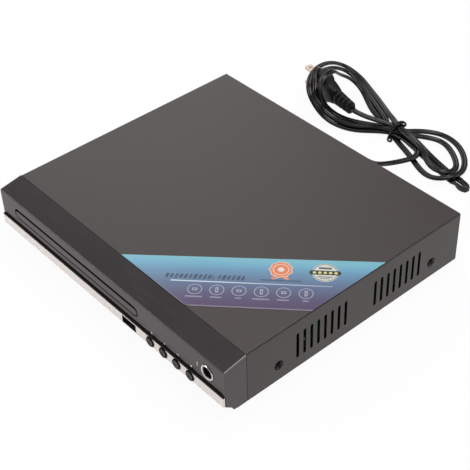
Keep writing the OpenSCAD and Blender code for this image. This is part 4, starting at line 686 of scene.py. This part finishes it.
def zincLook(s):  # galvanised sheet with its crystals
    look = Look("zincSheet", Metallic=1.0)
    wobble = look.noise(4, 2)
    crystal = look.cells(s["crystal"])
    shade = look.add("SeparateColor", {}, {0: crystal.output("Color")})
    fine = look.noise(0.4, 3, look.stretched(1, 0.15, 1))
    colour = look.tint(tone(*s["metal"]), shade * 0.2 + fine * 0.08 + 0.82)
    return look.wear(Base_Color=colour, Roughness=shade.output(1) * 0.14 + wobble * 0.1 + s["rough"],
                     Normal=look.relief(fine * 0.3 + crystal * 0.2, 0.02, 0.4))


rubber = {"dark": (22, 22, 22), "light": (32, 31, 30), "dust": (88, 85, 80), "rough": 0.72}


def rubberLook(s):
    look = Look("blackRubber")
    cloud = look.noise(6, 3)
    grain = look.noise(0.3, 3)
    dust = look.noise(1.2, 4).span(0.55, 0.75)
    colour = look.blend(cloud, tone(*s["dark"]), tone(*s["light"]))
    colour = look.blend(dust * 0.25, colour, tone(*s["dust"]))
    return look.wear(Base_Color=colour, Roughness=cloud * 0.12 + s["rough"],
                     Normal=look.relief(grain, 0.05, 0.6))


board = {
    "lacquer": (18, 74, 44),
    "track": (34, 104, 60),
    "tin": (196, 190, 176),
    "rough": 0.34,
    "patch": 9,  # size of the areas with tracks of their own
    "shift": 4,  # how far their tracks are moved from each other
    "trackHalf": 0.28,
    "linePitch": 1.9,
    "rungPitch": 2.3,
    "padPitch": 5.08,
}


def boardLook(s):  # green lacquer over copper tracks, with tinned pads
    look = Look("circuitBoard")
    x, y, z = look.plan()
    patch = look.add("SeparateColor", {}, {0: look.cells(s["patch"]).output("Color")})
    weave = look.noise(0.4, 1)

    def aside(place, pitch):  # from the middle between two rows
        return abs(place % pitch - pitch / 2)

    lines = (aside(x + patch * s["shift"], s["linePitch"]) < s["trackHalf"]) * (patch.output(1) > 0.35)
    rungs = aside(y + patch.output(1) * s["shift"], s["rungPitch"]) < s["trackHalf"]
    track = lines.most(rungs * (patch.output(1) < 0.5))
    padX, padY = aside(x, s["padPitch"]), aside(y, s["padPitch"])
    pad = ((padX * padX + padY * padY) < 0.5) * (patch.output(2) > 0.45)
    colour = look.blend(track, tone(*s["lacquer"]), tone(*s["track"]))
    colour = look.blend(pad, colour, tone(*s["tin"]))
    return look.wear(Base_Color=colour, Metallic=pad * 0.8, Roughness=weave * 0.1 + s["rough"] - pad * 0.08,
                     Normal=look.relief(track + pad + weave * 0.1, 0.05, 0.6))


chip = {"dark": (26, 26, 28), "light": (38, 38, 40), "scuff": (96, 96, 98), "rough": 0.5}


def chipLook(s):
    look = Look("componentBlack")
    cloud = look.noise(5, 2)
    grain = look.noise(0.22, 3)
    scuff = look.noise(1.3, 3).span(0.6, 0.75)
    colour = look.blend(cloud, tone(*s["dark"]), tone(*s["light"]))
    colour = look.blend(scuff * 0.15, colour, tone(*s["scuff"]))
    return look.wear(Base_Color=colour, Roughness=cloud * 0.15 + s["rough"],
                     Normal=look.relief(grain, 0.03, 0.5))


tape = {"dark": (206, 168, 40), "light": (228, 192, 66), "edge": (120, 92, 24), "wide": 2.4, "rough": 0.32}


def tapeLook(s):  # yellow tape wound round the transformer
    look = Look("transformerTape")
    x, y, z = look.plan()
    lap = abs(z % s["wide"] - s["wide"] / 2).span(s["wide"] / 2 - 0.15, s["wide"] / 2)
    wrinkle = look.noise(2, 3, look.stretched(0.3, 0.3, 1.6))
    colour = look.blend(wrinkle, tone(*s["dark"]), tone(*s["light"]))
    colour = look.blend(lap * 0.5, colour, tone(*s["edge"]))
    return look.wear(Base_Color=colour, Roughness=wrinkle * 0.2 + s["rough"],
                     Normal=look.relief(wrinkle - lap, 0.08, 0.5))


lens = {"dark": (46, 58, 92), "light": (78, 92, 128), "rough": 0.04, "coat": 0.7}


def lensLook(s):
    look = Look("pickupLens", IOR=1.5)
    haze = look.noise(1.2, 2)
    colour = look.blend(haze, tone(*s["dark"]), tone(*s["light"]))
    return look.wear(Base_Color=colour, Roughness=haze * 0.05 + s["rough"],
                     Coat_Weight=haze * 0.2 + s["coat"])


knobs = {
    "dark": (33, 31, 31),
    "light": (42, 39, 39),
    "touched": (88, 83, 80),
    "ringHighlight": (110, 106, 104),
    "rim": (13, 12, 12),
    "rough": 0.3,
    "last": 83.3,  # the last button's middle
    "pitch": 12.3,
    "height": 13.65,
    "edge": 2.75,  # the black rim starts this far from the middle
    "ring": 1.6,  # and a faint painted highlight ring lies here
}


def buttonLook(s):
    look = Look("buttonPlastic", **{"Specular IOR Level": 0.1})
    x, y, z = look.plan()
    cloud = look.noise(2.5, 2)
    grain = look.noise(0.2, 2)
    touch = look.noise(1.1, 4).span(0.5, 0.7)
    across = (x - s["last"] + s["pitch"] / 2) % s["pitch"] - s["pitch"] / 2
    away = distance(across, z - s["height"])
    edge = away.span(s["edge"] - 0.3, s["edge"] + 0.25)
    ring = abs(away - s["ring"]).span(0.5, 0.15)
    colour = look.blend(cloud, tone(*s["dark"]), tone(*s["light"]))
    colour = look.blend(touch * 0.25, colour, tone(*s["touched"]))
    # a faint ring of painted highlight
    colour = look.blend(ring * 0.3, colour, tone(*s["ringHighlight"]))
    colour = look.blend(edge, colour, tone(*s["rim"]))
    return look.wear(Base_Color=colour, Roughness=touch * 0.12 + edge * 0.25 + s["rough"],
                     Normal=look.relief(grain, 0.015, 0.5))


jack = {"plating": (206, 202, 199), "dark": (18, 16, 16), "middle": (98, 26.5), "darkR": 3.95}


def jackRingLook(s):  # plated rim, dark inside
    look = Look("jackRing")
    x, y, z = look.plan()
    away = distance(x - s["middle"][0], z - s["middle"][1])
    inner = away.span(s["darkR"] + 0.1, s["darkR"] - 0.1)
    turned = look.noise(0.25, 3)
    cloud = look.noise(3, 3)
    plating = look.tint(tone(*s["plating"]), turned * 0.1 + cloud * 0.1 + 0.88)
    colour = look.blend(inner, plating, tone(*s["dark"]))
    return look.wear(Base_Color=colour, Metallic=1 - inner, Roughness=turned * 0.1 + inner * 0.3 + 0.14,
                     Normal=look.relief(turned, 0.01, 0.3))


sheet = {
    "corner": (-2.4, 17.1),
    "turn": 43.4,  # the print's rows, from +X
    "depth": 41.8,
    "rows": {"heading": 17, "rule": 21.1, "rings": 28, "captions": 34.3},  # how far down each lies
    "fade": [(0.02, (116, 179, 195)), (0.12, (108, 165, 193)), (0.28, (99, 139, 170)),
             (0.5, (91, 110, 141)), (0.74, (86, 82, 114)), (0.95, (82, 66, 100))],
    "cornerLight": (160, 200, 216),
    "edgeHighlight": (168, 162, 172),
    "ink": (44, 62, 86),
    "pale": (190, 188, 204),
    "heading": (53.3, 23.6),  # middle and half length
    "gap": (60, 1.3),  # between its two runs
    "stroke": 2.85,  # from one leaning stroke to the next
    "lean": 0.3,
    "rule": (81, 47.8),
    "ruleWhite": (206, 220, 234),
    "flower": (97.9, 8),
    "ribbon": (224, 138, 96),
    "petals": [(7, (214, 192, 180)), (6.3, (226, 128, 84))],
    "discs": [(4.9, (218, 202, 192)), (4.3, (222, 124, 82)), (2, (222, 212, 204))],
    "flowerBar": (98.5, 12, 17.7, 0.55),
    "badge": (124.2, 9.3),
    "badgeDiscs": [(8, (186, 190, 188)), (7.4, (96, 100, 100)), (7, (208, 208, 202))],
    "band": (42, 42, 38),
    "dots": (208, 204, 130),
    "bars": (92, 94, 92),
    "ringCount": 6,
    "firstRing": 48.4,
    "ringPitch": 13.07,
    "ringR": 4.15,
}


def sheetLook(s):  # printed film with plain shapes on a blue fade
    look = Look("printedSheet", IOR=1.45)
    x, y, z = look.plan()
    a = math.radians(s["turn"])
    dx, dy = x - s["corner"][0], y - s["corner"][1]
    u = dx * math.cos(a) + dy * math.sin(a)
    v = dx * math.sin(a) - dy * math.cos(a)
    rows = s["rows"]

    def bar(centre, half, at, tall):  # rectangle with its middle at centre, at
        return (abs(u - centre) < half) * (abs(v - at) < tall)

    stops = [(at, tone(*shade)) for at, shade in s["fade"]]
    fade = look.add("ValToRGB", {"stops": stops}, {0: v / s["depth"]})
    colour = look.blend(u.span(0, 50, 0.14, 0.0), fade, tone(*s["cornerLight"]))
    # the cut edges are lightened: a painted highlight along them
    rim = (y < s["corner"][1] + 0.45).most(v > s["depth"] - 0.55) * (u > 22)
    colour = look.blend(rim * 0.4, colour, tone(*s["edgeHighlight"]))
    ink = tone(*s["ink"])
    # heading: two runs of leaning strokes
    lean = u + v * s["lean"]
    stroke = (lean / s["stroke"]).floor()
    cut = abs(lean % s["stroke"] - s["stroke"] / 2) < 0.98 - (stroke % 3) * 0.16
    cut = cut * (abs(v - rows["heading"]) < 2 - (stroke % 2) * 0.3)
    heading = cut * (abs(u - s["heading"][0]) < s["heading"][1]) * (abs(u - s["gap"][0]) > s["gap"][1])
    colour = look.blend(heading * 0.85, colour, ink)
    rule = bar(*s["rule"], rows["rule"], 0.42) * u.span(50, 128, 1.0, 0.4)
    colour = look.blend(rule, colour, tone(*s["ruleWhite"]))
    # orange flower disc with two short ribbons
    cu, cv = s["flower"]
    away = distance(u - cu, v - cv)
    petals = look.add("Math", {"operation": "ARCTAN2"}, {0: v - cv, 1: u - cu}) * 9
    petals = look.add("Math", {"operation": "COSINE"}, {0: petals}) * 0.4
    beside = abs(u - cu)
    ribbon = (abs(beside - (v - cv) * 0.45) < 1.8) * (v > cv + 4) * (v < cv + 9.2 - abs(beside - 4) * 0.6)
    colour = look.blend(ribbon * 0.85, colour, tone(*s["ribbon"]))
    for r, shade in s["petals"]:
        colour = look.blend(away + petals < r, colour, tone(*shade))
    for r, shade in s["discs"]:
        colour = look.blend(away < r, colour, tone(*shade))
    colour = look.blend(bar(*s["flowerBar"]) * 0.7, colour, ink)
    # round badge with a dark band of dots
    cu, cv = s["badge"]
    away = distance(u - cu, v - cv)
    for r, shade in s["badgeDiscs"]:
        colour = look.blend(away < r, colour, tone(*shade))
    band = (abs(u - cu) < 9.7 - abs(v - cv) * 0.6) * (abs(v - cv) < 1.9)
    colour = look.blend(band, colour, tone(*s["band"]))
    dots = distance((u - cu + 1.6) % 3.2 - 1.6, v - cv) < 1.05
    colour = look.blend(dots * (abs(u - cu) < 8), colour, tone(*s["dots"]))
    bars = bar(cu, 3.9, cv - 4, 0.85).most(bar(cu, 4.6, cv + 3.7, 0.4)).most(bar(cu, 2.8, cv + 5.2, 0.3))
    colour = look.blend(bars, colour, tone(*s["bars"]))
    # six rings, each with a plain figure and a short bar under it
    along = u - s["firstRing"] + s["ringPitch"] / 2
    cell = (along / s["ringPitch"]).floor()
    du = along % s["ringPitch"] - s["ringPitch"] / 2
    dv = v - rows["rings"]
    inRow = (along > 0) * (along < s["ringPitch"] * s["ringCount"])
    away = distance(du, dv)
    ring = abs(away - s["ringR"]) < 0.26
    tall = cell % 2  # 1 in every second ring
    square = (abs(du) < 1.5 - tall * 0.6) * (abs(dv) < 1.1 + tall * 1.2)
    hole = (abs(du) < 0.8 - tall * 0.5) * (abs(dv) < 0.45 + tall * 0.9)
    caption = (abs(du) < 5 - (cell % 3) * 1.6) * (abs(v - rows["captions"]) < 0.5)
    figure = square * (1 - hole)
    pale = ring.most(figure).most(caption * 0.7) * inRow
    colour = look.blend(pale * 0.66, colour, tone(*s["pale"]))
    speck = look.noise(0.35, 2)
    smear = look.noise(16, 3)
    colour = look.tint(colour, speck * 0.05 + 0.975)
    return look.wear(Base_Color=colour, Roughness=smear * 0.14 + 0.24, Normal=look.relief(smear, 0.05, 0.25))


finishes = {
    "cover paint": coverLook(cover),
    "zinc steel": zincLook(zinc),
    "bezel plastic": bezelLook(bezel),
    "bright trim": trimLook(trim),
    "smoked window": windowLook(window),
    "printed sheet": sheetLook(sheet),
    "rubber": rubberLook(rubber),
    "dark plastic": mouldedLook("darkPlastic", (34, 34, 36), 0.44),
    "white plastic": mouldedLook("whitePlastic", (206, 204, 196), 0.38),
    "button plastic": buttonLook(knobs),
    "motor can": metalLook("motorCan", (168, 168, 166), 0.3, (1, 1, 0.1)),
    "rod steel": metalLook("rodSteel", (198, 198, 200), 0.14, (1, 0.05, 1)),
    "turntable metal": metalLook("turntableMetal", (186, 186, 188), 0.22, (0.3, 0.3, 1)),
    "lens glass": lensLook(lens),
    "circuit board": boardLook(board),
    "component black": chipLook(chip),
    "transformer tape": tapeLook(tape),
    "connector metal": metalLook("connectorMetal", (192, 192, 190), 0.24, (1, 0.1, 1)),
    "jack ring metal": jackRingLook(jack),
    "screw steel": metalLook("blackScrew", (30, 28, 28), 0.2),
    "zinc screw": metalLook("zincScrew", (178, 178, 172), 0.28),
    "cord vinyl": plugLook,
    "brass": metalLook("bladeBrass", (196, 176, 160), 0.3, (0.2, 1, 1)),
}
# the memory socket's shell is near-black metal: painted shade inside its opening
ownLooks = {"usb_socket": metalLook("shadedSocketShell", (18, 17, 17), 0.34)}
for node, item in frame["nodes"].items():
    for holder in item.material_slots:
        slot = holder.material.name.split(".")[0]
        holder.material = ownLooks.get(node, finishes[slot]).material
print("finishes given:", len(finishes))

marks = {
    "print": (208, 206, 202),
    "rise": 20.7,
    "size": 0.95,
    "proud": 0.05,
    "open": 46.9,
    "play": 59.2,
    "next": 71.3,
    "stop": 83.4,
    "microphone": (89.3, 27.6),
}


def printMarks(s):
    points, faces = [], []

    def plate(outline):  # a thin plate standing on the bezel's face
        first = len(points)
        for y in (0.03, -s["proud"]):
            points.extend(row(x, y, z) for x, z in outline)
        n = len(outline)
        faces.append(tuple(first + n + k for k in range(n)))
        for k in range(n):
            after = (k + 1) % n
            faces.append((first + k, first + after, first + n + after, first + n + k))

    def bar(x, z, w, h):
        low, high = z - h / 2, z + h / 2
        plate([(x - w / 2, low), (x + w / 2, low), (x + w / 2, high), (x - w / 2, high)])

    r, z = s["size"], s["rise"]
    x = s["open"]  # a triangle over a bar
    plate([(x - r, z - 0.1), (x + r, z - 0.1), (x, z + r)])
    bar(x, z - 0.75, 2 * r, 0.45)
    x = s["play"]
    plate([(x - r * 0.8, z - r), (x + r, z), (x - r * 0.8, z + r)])
    x = s["next"]  # a triangle before a bar
    plate([(x - r, z - r * 0.8), (x + r * 0.4, z), (x - r, z + r * 0.8)])
    bar(x + r * 0.75, z, 0.45, r * 1.6)
    bar(s["stop"], z, r * 1.5, r * 1.5)
    x, z = s["microphone"]  # head, stem and foot
    bar(x, z + 0.3, 0.9, 1.6)
    bar(x, z - 1.1, 0.3, 1.0)
    bar(x, z - 1.6, 1.5, 0.3)
    look = mouldedLook("markPrint", s["print"], 0.5, 0.15, 0.01, 10)
    piece = makeMesh("faceMarks", points, faces, look, False)
    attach(piece, "case")


printMarks(marks)
print("marks printed")

room = {
    "floor": (243, 243, 243),
    "spread": 4,  # how much lighter its cloudy patches are
    "half": 3,  # in metres
    "low": -0.0003,
    "world": 0.22,
    "shown": 0.95,  # how much of the floor is plain white to the eye; the rest takes the shadow
}
white = (1, 1, 1, 1)


def makeRoom(s):
    world = bpy.data.worlds.new("studio")
    bpy.context.scene.world = world
    sky = Nodes(world)
    rays = sky.add("LightPath")
    seen = rays.most(rays.output("Is Transmission Ray"))
    plain = sky.add("Background", {}, {0: white, 1: s["world"]})
    pale = sky.add("Background", {}, {0: white})
    sky.add("OutputWorld", {}, {0: sky.add("MixShader", {}, {0: seen, 1: plain, 2: pale})})

    look = Look("paleFloor")
    grain = look.noise(40, 3)
    rays = look.add("LightPath")
    seen = rays.most(rays.output("Is Glossy Ray")).most(rays.output("Is Transmission Ray"))
    colour = look.blend(grain, tone(*s["floor"]), tone(*[v + s["spread"] for v in s["floor"]]))
    look.wear(Base_Color=colour, Roughness=grain * 0.1 + 0.75)
    glow = look.add("Emission", {}, {0: white, 1: 1.0})
    shown = look.add("MixShader", {}, {0: seen * s["shown"], 1: look.shader, 2: glow})
    look.feed(look.out.inputs[0], shown)
    half = s["half"]
    points = [(x, y, s["low"]) for x, y in ((-half, -half), (half, -half), (half, half), (-half, half))]
    makeMesh("floor", points, [(0, 1, 2, 3)], look, False)


def softLamp(name, place, aim, size, power, tint=(1, 1, 1)):
    light = bpy.data.lights.new(name, "AREA")
    light.shape = "RECTANGLE"
    light.size, light.size_y = size
    light.energy = power
    light.color = tint
    lamp = bpy.data.objects.new(name, light)
    lamp.location = place
    lamp.rotation_euler = (Vector(aim) - Vector(place)).to_track_quat("-Z", "Y").to_euler()
    bpy.context.scene.collection.objects.link(lamp)


makeRoom(room)
lamps = {  # place, aim, size in metres, power and tint
    "overhead": ((0, 0.35, 1.5), (0, 0, 0), (1.0, 0.9), 13.5),
    "backLeft": ((-1.3, 0.78, 0.95), (0, 0, 0), (1.1, 0.9), 5),
    "frontLeft": ((-0.8, -0.9, 0.6), (-0.05, -0.1, 0.02), (0.7, 0.6), 7.9, (1, 0.96, 0.95)),
    "right": ((1.15, 1.1, 0.75), (0, 0.05, 0.02), (0.9, 0.7), 7),
}
for name, about in lamps.items():
    softLamp(name, *about)
bpy.context.scene.view_settings.view_transform = "Standard"
print("room lit")
